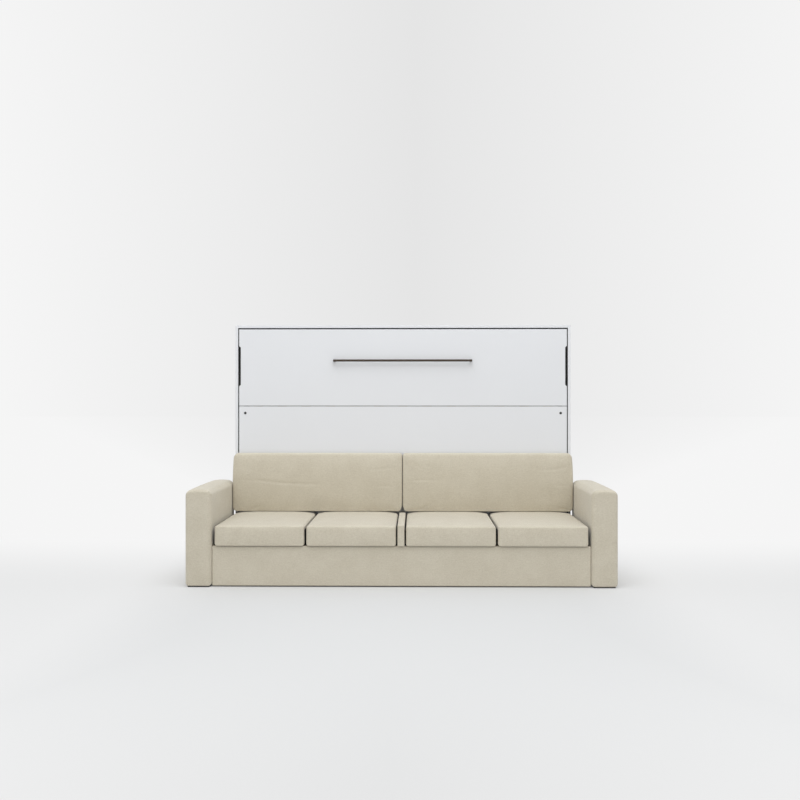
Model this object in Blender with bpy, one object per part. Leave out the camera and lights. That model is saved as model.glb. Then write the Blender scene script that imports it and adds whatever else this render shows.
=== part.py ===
"""A horizontal wall bed with a sofa in front of it, shown with the bed folded away.

X runs along the bed, +Y runs into the wall and +Z is up. The origin is on the floor under the middle
of the whole object. All sizes are in metres.
"""
import math

import bmesh
import bpy
from mathutils import Matrix, Vector

for old in list(bpy.data.objects):
    bpy.data.objects.remove(old, do_unlink=True)

# Fits
GAP = 0.0003
OVERRUN = 0.002
BEARING_CLEARANCE = 0.0005
ROUND_SIDES = 24
SMALL_ROUND_SIDES = 16
SMOOTH_ANGLE = math.radians(40)
DOME_POWER = 4

# Cabinet
CABINET_DEPTH = 0.450
BOARD = 0.019
BACK_BOARD = 0.004
BOARD_BEVEL = 0.0008
BOTTOM_LIFT = 0.060
WALL_RAIL_HEIGHT = 0.100

# Door panels
DOOR_SIDE_GAP = 0.004
DOOR_TOP_GAP = 0.0065
DOOR_BELOW_FRAME = 0.015
PLINTH_GAP = 0.007
SPLIT_GAP = 0.004
BOLT_CAP_RADIUS = 0.008
BOLT_CAP_HEIGHT = 0.0015
BOLT_RADIUS = 0.004
BOLT_BELOW_SPLIT = 0.042

# Grip cups in the side edges of the upper panel
GRIP_LENGTH = 0.254
GRIP_DEPTH = 0.0105
GRIP_CHAMFER = 0.009
GRIP_WALL = 0.0018
GRIP_BELOW_TOP = 0.232

# Bar handle
HANDLE_LENGTH = 0.872
HANDLE_HEIGHT = 0.0135
HANDLE_BAR_DEPTH = 0.010
HANDLE_REACH = 0.034
HANDLE_POST_WIDTH = 0.014
HANDLE_BELOW_TOP = 0.1975
HANDLE_BEVEL = 0.0018

# Long leaf hinge between the bed and the upper panel, and the strip that panel stands on
LEAF_METAL = 0.0015
LEAF_HEIGHT = 0.040
LEAF_INSET = 0.058
LEAF_BRIDGE = 0.0024
LEAF_BRIDGE_STEP = 0.0006
KNUCKLE_RADIUS = 0.0038
KNUCKLE_COUNT = 9
KNUCKLE_GAP = 0.0005
KNUCKLE_TO_LEAF = 0.0013
LEAF_PIN_RADIUS = 0.0025
LEAF_AXIS_BELOW_TOP = 0.006
EDGE_STRIP_HEIGHT = 0.0025
EDGE_STRIP_THICKNESS = 0.014
FLOOR_CLEARANCE = 0.001

# Bed frame and mattress
RAIL_DEPTH = 0.040
RAIL_WIDTH = 0.030
RAIL_WALL = 0.002
FRAME_LIFT = 0.248
FRAME_BELOW_TOP = 0.0125
FRAME_PAST_MATTRESS_END = 0.008
FRAME_PAST_MATTRESS_SIDE = 0.0175
SLAT_COUNT = 13
SLAT_WIDTH = 0.060
SLAT_THICKNESS = 0.008
SLAT_END = 0.005
SLAT_TAPE_WIDTH = 0.030
SLAT_TAPE_THICKNESS = 0.003
SLAT_TAPE_INSET = 0.060
MATTRESS_LENGTH = 2.000
MATTRESS_WIDTH = 1.200
MATTRESS_THICKNESS = 0.160
MATTRESS_RADIUS = 0.035
MATTRESS_CROWN = 0.006
STRAP_WIDTH = 0.050
STRAP_THICKNESS = 0.002
STRAP_CLEARANCE = 0.001
STRAP_AT_SLATS = 3.5

# Pivot of the bed
HINGE_PLATE_METAL = 0.004
HINGE_PLATE_TOP = 0.045
HINGE_PLATE_BELOW_STUD = 0.030
HINGE_PLATE_BEHIND_STUD = 0.012
BED_OVER_CUSHION = 0.0068
PIVOT_PLATE_METAL = 0.003
PIVOT_PLATE_HEIGHT = 0.130
PIVOT_PLATE_WIDTH = 0.056
PIVOT_PIN_RADIUS = 0.007
PIVOT_PIN_INSET = 0.0005
PIVOT_COLLAR_RADIUS = 0.011
PIVOT_COLLAR_GAP = 0.001

# Gas springs
STUD_BEHIND_PIVOT = 0.020
STUD_BELOW_PIVOT = 0.100
STUD_RADIUS = 0.006
STUD_LENGTH = 0.0045
ANCHOR_BEHIND_PIVOT = 0.090
ANCHOR_ABOVE_PIVOT = 0.293
ANCHOR_PLATE = 0.040
ANCHOR_PIN_RADIUS = 0.004
CYLINDER_RADIUS = 0.0074
CYLINDER_CLEARANCE = 0.00055
CYLINDER_BORE_RADIUS = 0.0042
CYLINDER_LENGTH = 0.210
CYLINDER_BORE_START = 0.030
CYLINDER_CHAMFER = 0.002
EYE_RADIUS = 0.0072
EYE_INSET = 0.0014
ROD_RADIUS = 0.0035
ROD_INSIDE = 0.020

# Rubber stops behind the side rails
STOP_WIDTH_PAST_MATTRESS = 0.0015
STOP_HEIGHT = 0.040
STOP_DEPTH = 0.020
STOP_BELOW_TOP = 0.028

# Sofa
SOFA_DEPTH = 0.730
ARM_PAST_CABINET = 0.008
ARM_WIDTH = 0.148
ARM_TOP = 0.554
ARM_LIFT = 0.003
ARM_RADIUS = 0.026
ARM_CROWN = 0.008
ARM_FRONT_CROWN = 0.004
ARM_FOAM = 0.014
ARM_BOARD = 0.016
BASE_SETBACK = 0.024
BASE_LIFT = 0.0055
BASE_TOP = 0.2295
BASE_THICKNESS = 0.030
BASE_RADIUS = 0.009
SEAT_RAIL_THICKNESS = 0.022
SEAT_RAIL_HEIGHT = 0.105
DECK_THICKNESS = 0.015
SEAT_BEAM_WIDTH = 0.030
SEAT_LEG_SIZE = 0.040
SEAT_LEG_INSET = 0.100
SEAT_LEG_JOINT = 0.040

# Seat cushions
SEAT_TOP = 0.356
SEAT_SETBACK = 0.006
SEAT_GAP = 0.012
SEAT_TO_ARM = 0.0165
FILLER_WIDTH = 0.0365
FILLER_GAP = 0.0095
FILLER_RADIUS = 0.0085
FILLER_BELOW_TOP = 0.007
SEAT_CUSHION_COUNT = 4
SEAT_RADIUS = 0.013
SEAT_CROWN = 0.008
SEAT_FRONT_CROWN = 0.005
SEAT_PULL = 0.002
SEAT_PUFF = 0.002
SEAT_BACK_CLEARANCE = 0.006

# Back cushions
BACK_CUSHION_HEIGHT = 0.363
BACK_CUSHION_THICKNESS = 0.093
BACK_CUSHION_ON_SEAT = 0.0004
BACK_CUSHION_TO_ARM = 0.0015
BACK_CUSHION_GAP = 0.003
BACK_CUSHION_RADIUS = 0.022
BACK_CUSHION_CROWN = 0.016
BACK_CUSHION_REAR_CROWN = 0.004
BACK_CUSHION_PULL = 0.001

# Places that follow from these sizes
FRONT = (SOFA_DEPTH - CABINET_DEPTH) / 2
BACK = FRONT + CABINET_DEPTH
SOFA_FRONT = FRONT - SOFA_DEPTH
SOFA_BACK = FRONT - GAP
DOOR_BACK = FRONT + BOARD
LEAF_AXIS_Y = DOOR_BACK + GAP + KNUCKLE_RADIUS
RAIL_FRONT = LEAF_AXIS_Y + KNUCKLE_RADIUS + KNUCKLE_TO_LEAF + LEAF_METAL + GAP
RAIL_BACK = RAIL_FRONT + RAIL_DEPTH
SLAT_FRONT = RAIL_BACK + GAP
SLAT_BACK = SLAT_FRONT + SLAT_THICKNESS
SLAT_PITCH = MATTRESS_LENGTH / SLAT_COUNT
MATTRESS_FRONT = SLAT_BACK + GAP
MATTRESS_BACK = MATTRESS_FRONT + MATTRESS_THICKNESS

FRAME_BOTTOM = FRAME_LIFT
MATTRESS_BOTTOM = FRAME_BOTTOM + FRAME_PAST_MATTRESS_SIDE
MATTRESS_TOP = MATTRESS_BOTTOM + MATTRESS_WIDTH
FRAME_TOP = MATTRESS_TOP + FRAME_PAST_MATTRESS_SIDE
DOOR_BOTTOM = FRAME_BOTTOM - DOOR_BELOW_FRAME
DOOR_TOP = FRAME_TOP + FRAME_BELOW_TOP
TOP_UNDERSIDE = DOOR_TOP + DOOR_TOP_GAP
CABINET_HEIGHT = TOP_UNDERSIDE + BOARD

FRAME_HALF_WIDTH = MATTRESS_LENGTH / 2 + FRAME_PAST_MATTRESS_END
HINGE_PLATE_OUTER = FRAME_HALF_WIDTH + GAP + HINGE_PLATE_METAL
PIVOT_PLATE_INNER = HINGE_PLATE_OUTER + STUD_LENGTH + 2 * (CYLINDER_RADIUS + CYLINDER_CLEARANCE)
SPRING_X = PIVOT_PLATE_INNER - CYLINDER_CLEARANCE - CYLINDER_RADIUS
EYE_WIDTH = 2 * (CYLINDER_RADIUS - EYE_INSET)
SIDE_INNER = PIVOT_PLATE_INNER + PIVOT_PLATE_METAL + GAP
DOOR_HALF_WIDTH = SIDE_INNER - DOOR_SIDE_GAP
CABINET_WIDTH = 2 * (SIDE_INNER + BOARD)
LEAF_LENGTH = 2 * (FRAME_HALF_WIDTH - LEAF_INSET)
ARM_INNER = CABINET_WIDTH / 2 + ARM_PAST_CABINET

BASE_FRONT = SOFA_FRONT + BASE_SETBACK
BASE_BACK = BASE_FRONT + BASE_THICKNESS
DECK_BOTTOM = BASE_TOP - DECK_THICKNESS
SEAT_RAIL_TOP = DECK_BOTTOM - GAP
SEAT_RAIL_BOTTOM = SEAT_RAIL_TOP - SEAT_RAIL_HEIGHT
BACK_CUSHION_BOTTOM = SEAT_TOP + BACK_CUSHION_ON_SEAT
BACK_CUSHION_TOP = BACK_CUSHION_BOTTOM + BACK_CUSHION_HEIGHT
BACK_CUSHION_REAR = FRONT - GAP
BACK_CUSHION_FRONT = BACK_CUSHION_REAR - BACK_CUSHION_THICKNESS

# The lowered bed lies over the back cushions on the seat, and the upper panel reaches the floor as its leg
PIVOT_Y = RAIL_FRONT + RAIL_DEPTH / 2
PIVOT_Z = BACK_CUSHION_BOTTOM + BACK_CUSHION_THICKNESS + PIVOT_Y - FRONT + BED_OVER_CUSHION
LEAF_AXIS_Z = DOOR_TOP - LEAF_AXIS_BELOW_TOP
LEG_DROP = PIVOT_Z - PIVOT_Y + LEAF_AXIS_Y - FLOOR_CLEARANCE
LEG_PANEL_BOTTOM = LEAF_AXIS_Z - LEG_DROP + GAP + EDGE_STRIP_HEIGHT
LOWER_DOOR_TOP = LEG_PANEL_BOTTOM - SPLIT_GAP
STUD_Y = PIVOT_Y + STUD_BEHIND_PIVOT
STUD_Z = PIVOT_Z - STUD_BELOW_PIVOT
ANCHOR_Y = PIVOT_Y + ANCHOR_BEHIND_PIVOT
ANCHOR_Z = PIVOT_Z + ANCHOR_ABOVE_PIVOT

SIDES = ((-1, "left"), (1, "right"))
BEAM_NAMES = ("left", "centre", "right")


def material(name, colour, roughness, metallic=0.0):
    made = bpy.data.materials.new(name)
    made.use_nodes = True
    shader = made.node_tree.nodes["Principled BSDF"]
    shader.inputs["Base Color"].default_value = (*colour, 1.0)
    shader.inputs["Roughness"].default_value = roughness
    shader.inputs["Metallic"].default_value = metallic
    made.diffuse_color = (*colour, 1.0)
    return made


LACQUER = material("white_lacquer", (0.80, 0.80, 0.81), 0.35)
CARCASS = material("white_board", (0.78, 0.78, 0.79), 0.5)
LINEN = material("beige_linen", (0.53, 0.49, 0.40), 0.95)
TICKING = material("mattress_fabric", (0.78, 0.77, 0.74), 0.9)
WEBBING = material("black_webbing", (0.03, 0.03, 0.03), 0.9)
BRONZE = material("dark_bronze", (0.10, 0.075, 0.06), 0.4, 0.8)
STEEL = material("steel", (0.55, 0.56, 0.58), 0.35, 1.0)
FRAME_PAINT = material("frame_paint", (0.20, 0.21, 0.22), 0.5, 0.3)
BLACK_PLASTIC = material("black_plastic", (0.02, 0.02, 0.02), 0.5)
RUBBER = material("rubber", (0.03, 0.03, 0.03), 0.8)
PINE = material("pine", (0.62, 0.46, 0.28), 0.7)
BEECH = material("beech", (0.70, 0.52, 0.34), 0.6)


def pivot(name, place):
    """An empty on a joint's axis, which carries the pieces of one moving body."""
    empty = bpy.data.objects.new(name, None)
    empty.location = place
    bpy.context.collection.objects.link(empty)
    return empty


BED = pivot("bed_pivot", (0, PIVOT_Y, PIVOT_Z))
LEG_PANEL = pivot("leg_panel_pivot", (0, LEAF_AXIS_Y, LEAF_AXIS_Z))


def make(name, mesh_maker, finish, body=None, origin=(0, 0, 0), bevel=0.0, smooth=True):
    """Turns a bmesh into a named object; its points are given in the world and stored from its origin."""
    mesh = bpy.data.meshes.new(name)
    bmesh.ops.translate(mesh_maker, vec=-Vector(origin), verts=mesh_maker.verts)
    bmesh.ops.recalc_face_normals(mesh_maker, faces=mesh_maker.faces)
    mesh_maker.to_mesh(mesh)
    mesh_maker.free()
    piece = bpy.data.objects.new(name, mesh)
    piece.location = origin
    bpy.context.collection.objects.link(piece)
    mesh.materials.append(finish)
    if smooth:
        mesh.shade_smooth()
        mesh.set_sharp_from_angle(angle=SMOOTH_ANGLE)
    if body:
        piece.parent = body
        piece.location = Vector(origin) - body.location
    if bevel:
        edges = piece.modifiers.new("edges", "BEVEL")
        edges.width = bevel
        edges.segments = 1
        edges.limit_method = "ANGLE"
    return piece


def block(shape, low, high):
    """Adds a closed box between two corners."""
    size = Vector(high) - Vector(low)
    middle = (Vector(high) + Vector(low)) / 2
    bmesh.ops.create_cube(shape, size=1, matrix=Matrix.LocRotScale(middle, None, size))


def bar(shape, axis, low, high, radius, sides=ROUND_SIDES):
    """Adds a closed cylinder along X, Y or Z; low and high are the ends of its centre line."""
    turn = {"X": Matrix.Rotation(math.pi / 2, 4, "Y"), "Y": Matrix.Rotation(math.pi / 2, 4, "X"),
            "Z": Matrix.Identity(4)}[axis]
    length = (Vector(high) - Vector(low)).length
    middle = Matrix.Translation((Vector(high) + Vector(low)) / 2)
    bmesh.ops.create_cone(shape, cap_ends=True, segments=sides, radius1=radius, radius2=radius,
                          depth=length, matrix=middle @ turn)


def prism(shape, outline, side_axis, low, high):
    """Adds a closed prism: an outline of (a, b) points pushed along X or Y from low to high."""
    ends = []
    for depth in (low, high):
        if side_axis == "X":
            points = [shape.verts.new((depth, a, b)) for a, b in outline]
        else:
            points = [shape.verts.new((a, depth, b)) for a, b in outline]
        ends.append(points)
    near, far = ends
    shape.faces.new(near)
    shape.faces.new(far)
    for i, point in enumerate(near):
        nxt = (i + 1) % len(near)
        shape.faces.new((point, near[nxt], far[nxt], far[i]))


def solid(name, low, high, finish, body=None, bevel=0.0):
    """A plain board or block between two corners, with its origin at its middle."""
    shape = bmesh.new()
    block(shape, low, high)
    middle = (Vector(high) + Vector(low)) / 2
    return make(name, shape, finish, body, middle, bevel, smooth=False)


def join(piece, shape, operation):
    """Adds a shape to a piece, or cuts it out, by a Boolean with a hidden helper object."""
    helper = make(f"{piece.name}_{operation.lower()}_{len(piece.modifiers)}", shape, CARCASS, smooth=False)
    helper.hide_render = True
    helper.hide_viewport = False
    helper.display_type = "WIRE"
    change = piece.modifiers.new(operation.lower(), "BOOLEAN")
    change.operation = operation
    change.object = helper
    return piece


def cut(piece, shape):
    return join(piece, shape, "DIFFERENCE")


def unite(piece, shape):
    return join(piece, shape, "UNION")


def mirror_span(side, inner, outer):
    """The low and high X of a piece that lies between two distances from the middle."""
    return (inner, outer) if side > 0 else (-outer, -inner)


def ticks(half, radius, cells, round_steps):
    """Places along one edge of a box whose rounding gets even steps."""
    flat = half - radius
    step = math.pi / 4 / round_steps
    rounding = [flat + radius * math.tan(step * i) for i in range(1, round_steps + 1)]
    middle = [-flat + 2 * flat * i / cells for i in range(cells + 1)]
    return [-place for place in reversed(rounding)] + middle + rounding


def soft_box(low, high, radius, cells, crowns=None, pull=(0, 0, 0), puff=(0, 0, 0), round_steps=2):
    """A closed cushion: a rounded box whose faces are crowned and whose sides draw in between corners.

    crowns gives the rise of the faces in the order -X, +X, -Y, +Y, -Z, +Z, inside low and high. pull
    draws the sides in along X, Y or Z midway between the corners, and puff rounds them over their height.
    """
    crowns = crowns or (0, 0, 0, 0, 0, 0)
    inner_low = Vector([low[i] + crowns[2 * i] + puff[i] for i in range(3)])
    inner_high = Vector([high[i] - crowns[2 * i + 1] - puff[i] for i in range(3)])
    half = (inner_high - inner_low) / 2
    middle = (inner_high + inner_low) / 2
    places = [ticks(half[i], radius, cells[i], round_steps) for i in range(3)]
    last = [len(row) - 1 for row in places]
    shape = bmesh.new()
    corners = {}

    def point(i, j, k):
        if (i, j, k) not in corners:
            place = Vector((places[0][i], places[1][j], places[2][k]))
            corners[i, j, k] = shape.verts.new(middle + formed(place))
        return corners[i, j, k]

    def formed(place):
        core = Vector([max(-(half[i] - radius), min(half[i] - radius, place[i])) for i in range(3)])
        away = place - core
        rounded = core + away.normalized() * radius
        share = Vector([rounded[i] / half[i] for i in range(3)])
        moved = rounded.copy()
        for i in range(3):
            others = [axis for axis in range(3) if axis != i]
            dome = math.prod(1 - abs(share[axis]) ** DOME_POWER for axis in others)
            rise = crowns[2 * i + 1] if share[i] > 0 else crowns[2 * i]
            moved[i] += rise * dome * share[i]
        for i in range(3):
            if pull[i] or puff[i]:
                along = 1 if i == 0 else 0
                up = 3 - i - along
                draw = pull[i] * (1 - share[along] ** 2)
                swell = puff[i] * (1 - share[up] ** 2)
                moved[i] += (swell - draw) * share[i]
        return moved

    def faces(rows, columns, pick):
        for a in range(rows):
            for b in range(columns):
                shape.faces.new((pick(a, b), pick(a + 1, b), pick(a + 1, b + 1), pick(a, b + 1)))

    for end in (0, last[0]):
        faces(last[1], last[2], lambda a, b, end=end: point(end, a, b))
    for end in (0, last[1]):
        faces(last[0], last[2], lambda a, b, end=end: point(a, end, b))
    for end in (0, last[2]):
        faces(last[0], last[1], lambda a, b, end=end: point(a, b, end))
    return shape


def centre(low, high):
    return (Vector(low) + Vector(high)) / 2


def row(count, reach):
    """Evenly spread places from -reach to +reach."""
    return [reach * (2 * i / (count - 1) - 1) for i in range(count)]


def cabinet():
    for side, label in SIDES:
        x = mirror_span(side, SIDE_INNER, CABINET_WIDTH / 2)
        solid(f"cabinet_side_{label}", (x[0], FRONT, 0), (x[1], BACK, CABINET_HEIGHT), LACQUER,
              bevel=BOARD_BEVEL)
    inner = SIDE_INNER - GAP
    inside_back = BACK - BACK_BOARD - GAP
    solid("cabinet_top", (-inner, FRONT, TOP_UNDERSIDE), (inner, inside_back, CABINET_HEIGHT),
          LACQUER, bevel=BOARD_BEVEL)
    plinth_top = DOOR_BOTTOM - PLINTH_GAP
    solid("plinth_panel", (-inner, FRONT, 0), (inner, DOOR_BACK, plinth_top), LACQUER, bevel=BOARD_BEVEL)
    solid("cabinet_bottom", (-inner, DOOR_BACK + GAP, BOTTOM_LIFT),
          (inner, inside_back, BOTTOM_LIFT + BOARD), CARCASS)
    solid("back_panel", (-inner, BACK - BACK_BOARD, BOTTOM_LIFT), (inner, BACK, CABINET_HEIGHT), CARCASS)
    rail_top = TOP_UNDERSIDE - GAP
    solid("upper_wall_rail", (-inner, inside_back - BOARD, rail_top - WALL_RAIL_HEIGHT),
          (inner, inside_back, rail_top), CARCASS)


def pivot_plates():
    for side, label in SIDES:
        plate = bmesh.new()
        x = mirror_span(side, PIVOT_PLATE_INNER, SIDE_INNER - GAP)
        low_y = PIVOT_Y - PIVOT_PLATE_WIDTH / 2
        low_z = PIVOT_Z - PIVOT_PLATE_HEIGHT / 2
        block(plate, (x[0], low_y, low_z), (x[1], low_y + PIVOT_PLATE_WIDTH, low_z + PIVOT_PLATE_HEIGHT))
        piece = make(f"pivot_plate_{label}", plate, STEEL)
        collar = bmesh.new()
        root = side * (SIDE_INNER - GAP - PIVOT_PLATE_METAL / 2)
        bar(collar, "X", (root, PIVOT_Y, PIVOT_Z),
            (side * (HINGE_PLATE_OUTER + PIVOT_COLLAR_GAP), PIVOT_Y, PIVOT_Z), PIVOT_COLLAR_RADIUS)
        unite(piece, collar)
        pin = bmesh.new()
        bar(pin, "X", (root, PIVOT_Y, PIVOT_Z),
            (side * (FRAME_HALF_WIDTH + PIVOT_PIN_INSET), PIVOT_Y, PIVOT_Z), PIVOT_PIN_RADIUS)
        unite(piece, pin)


def spring_anchors():
    for side, label in SIDES:
        plate = bmesh.new()
        x = mirror_span(side, PIVOT_PLATE_INNER, SIDE_INNER - GAP)
        half = ANCHOR_PLATE / 2
        block(plate, (x[0], ANCHOR_Y - half, ANCHOR_Z - half), (x[1], ANCHOR_Y + half, ANCHOR_Z + half))
        piece = make(f"spring_anchor_{label}", plate, STEEL)
        pin = bmesh.new()
        root = side * (SIDE_INNER - GAP - PIVOT_PLATE_METAL / 2)
        tip = side * (SPRING_X - EYE_WIDTH / 2)
        bar(pin, "X", (root, ANCHOR_Y, ANCHOR_Z), (tip, ANCHOR_Y, ANCHOR_Z), ANCHOR_PIN_RADIUS,
            SMALL_ROUND_SIDES)
        unite(piece, pin)


def closing_stops():
    top = DOOR_TOP - STOP_BELOW_TOP
    for side, label in SIDES:
        x = mirror_span(side, MATTRESS_LENGTH / 2 + STOP_WIDTH_PAST_MATTRESS, SIDE_INNER - GAP)
        solid(f"closing_stop_{label}", (x[0], RAIL_BACK + GAP, top - STOP_HEIGHT),
              (x[1], RAIL_BACK + GAP + STOP_DEPTH, top), RUBBER)


def lower_door():
    door = solid("lower_door_panel", (-DOOR_HALF_WIDTH, FRONT, DOOR_BOTTOM),
                 (DOOR_HALF_WIDTH, DOOR_BACK, LOWER_DOOR_TOP), LACQUER, BED, BOARD_BEVEL)
    batten_top = LOWER_DOOR_TOP - RAIL_WIDTH
    bolt_z = LOWER_DOOR_TOP - BOLT_BELOW_SPLIT
    bolt_end = RAIL_FRONT + RAIL_WALL + BOLT_RADIUS
    cap_front = FRONT - GAP - BOLT_CAP_HEIGHT
    for side, label in SIDES:
        x = mirror_span(side, FRAME_HALF_WIDTH - RAIL_WIDTH, FRAME_HALF_WIDTH)
        batten = solid(f"door_batten_{label}", (x[0], DOOR_BACK + GAP, FRAME_BOTTOM),
                       (x[1], RAIL_FRONT - GAP, batten_top), PINE, BED)
        middle = side * (FRAME_HALF_WIDTH - RAIL_WIDTH / 2)
        cap = bmesh.new()
        bar(cap, "Y", (middle, cap_front, bolt_z), (middle, FRONT - GAP, bolt_z), BOLT_CAP_RADIUS)
        bolt = make(f"door_bolt_{label}", cap, BLACK_PLASTIC, BED)
        shank = bmesh.new()
        bar(shank, "Y", (middle, cap_front + BOLT_CAP_HEIGHT / 2, bolt_z), (middle, bolt_end, bolt_z),
            BOLT_RADIUS, SMALL_ROUND_SIDES)
        unite(bolt, shank)
        for piece in (door, batten, bpy.data.objects[f"bed_rail_{label}"]):
            hole = bmesh.new()
            bar(hole, "Y", (middle, FRONT - OVERRUN, bolt_z), (middle, bolt_end + GAP, bolt_z),
                BOLT_RADIUS + BEARING_CLEARANCE, SMALL_ROUND_SIDES)
            cut(piece, hole)


def tube(name, low, high, along):
    """A rectangular steel tube, open at both ends."""
    piece = solid(name, low, high, FRAME_PAINT, BED)
    wall = [RAIL_WALL, RAIL_WALL, RAIL_WALL]
    wall[along] = -OVERRUN
    hollow = bmesh.new()
    block(hollow, Vector(low) + Vector(wall), Vector(high) - Vector(wall))
    return cut(piece, hollow)


def bed_frame():
    inner = FRAME_HALF_WIDTH - RAIL_WIDTH - GAP
    for side, label in SIDES:
        x = mirror_span(side, FRAME_HALF_WIDTH - RAIL_WIDTH, FRAME_HALF_WIDTH)
        tube(f"bed_rail_{label}", (x[0], RAIL_FRONT, FRAME_BOTTOM), (x[1], RAIL_BACK, FRAME_TOP), 2)
    beam = (FRAME_BOTTOM + FRAME_TOP - RAIL_WIDTH) / 2
    for name, low_z in (("bed_rail_bottom", FRAME_BOTTOM), ("bed_centre_beam", beam),
                        ("bed_rail_top", FRAME_TOP - RAIL_WIDTH)):
        tube(name, (-inner, RAIL_FRONT, low_z), (inner, RAIL_BACK, low_z + RAIL_WIDTH), 0)


def slatted_base():
    """Slats across the bed, held at their spacing by three woven tapes."""
    slats = bmesh.new()
    tapes = bmesh.new()
    reach = SLAT_PITCH * (SLAT_COUNT - 1) / 2
    low_z = FRAME_BOTTOM + SLAT_END
    high_z = FRAME_TOP - SLAT_END
    for x in row(SLAT_COUNT, reach):
        block(slats, (x - SLAT_WIDTH / 2, SLAT_FRONT, low_z), (x + SLAT_WIDTH / 2, SLAT_BACK, high_z))
    tape_y = (SLAT_FRONT + SLAT_BACK - SLAT_TAPE_THICKNESS) / 2
    tape_reach = (high_z - low_z - SLAT_TAPE_WIDTH) / 2 - SLAT_TAPE_INSET
    for offset in row(3, tape_reach):
        tape_z = (low_z + high_z - SLAT_TAPE_WIDTH) / 2 + offset
        block(tapes, (-reach, tape_y, tape_z),
              (reach, tape_y + SLAT_TAPE_THICKNESS, tape_z + SLAT_TAPE_WIDTH))
    unite(make("slatted_base", slats, BEECH, BED, smooth=False), tapes)


def mattress():
    half = MATTRESS_LENGTH / 2
    low = (-half, MATTRESS_FRONT, MATTRESS_BOTTOM)
    high = (half, MATTRESS_BACK, MATTRESS_TOP)
    crowns = (MATTRESS_CROWN, MATTRESS_CROWN, 0, MATTRESS_CROWN, MATTRESS_CROWN, MATTRESS_CROWN)
    shape = soft_box(low, high, MATTRESS_RADIUS, (6, 2, 4), crowns)
    make("mattress", shape, TICKING, BED, centre(low, high))
    near = RAIL_BACK + GAP
    far = MATTRESS_BACK + STRAP_CLEARANCE
    low_z = MATTRESS_BOTTOM - STRAP_CLEARANCE
    high_z = MATTRESS_TOP + STRAP_CLEARANCE
    skin = STRAP_THICKNESS
    outline = ((near, low_z - skin), (far + skin, low_z - skin), (far + skin, high_z + skin),
               (near, high_z + skin), (near, high_z), (far, high_z), (far, low_z), (near, low_z))
    for side, label in SIDES:
        strap = bmesh.new()
        x = side * SLAT_PITCH * STRAP_AT_SLATS
        prism(strap, outline, "X", x - STRAP_WIDTH / 2, x + STRAP_WIDTH / 2)
        make(f"mattress_strap_{label}", strap, WEBBING, BED, smooth=False)


def bed_hinge_plates():
    for side, label in SIDES:
        plate = bmesh.new()
        x = mirror_span(side, FRAME_HALF_WIDTH + GAP, HINGE_PLATE_OUTER)
        block(plate, (x[0], RAIL_FRONT, STUD_Z - HINGE_PLATE_BELOW_STUD),
              (x[1], STUD_Y + HINGE_PLATE_BEHIND_STUD, PIVOT_Z + HINGE_PLATE_TOP))
        piece = make(f"bed_hinge_plate_{label}", plate, STEEL, BED)
        stud = bmesh.new()
        bar(stud, "X", (side * (HINGE_PLATE_OUTER - HINGE_PLATE_METAL / 2), STUD_Y, STUD_Z),
            (side * (HINGE_PLATE_OUTER + STUD_LENGTH - BEARING_CLEARANCE), STUD_Y, STUD_Z), STUD_RADIUS)
        unite(piece, stud)
        hole = bmesh.new()
        bar(hole, "X", (side * (FRAME_HALF_WIDTH - OVERRUN), PIVOT_Y, PIVOT_Z),
            (side * (HINGE_PLATE_OUTER + OVERRUN), PIVOT_Y, PIVOT_Z), PIVOT_PIN_RADIUS + BEARING_CLEARANCE)
        cut(piece, hole)


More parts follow.
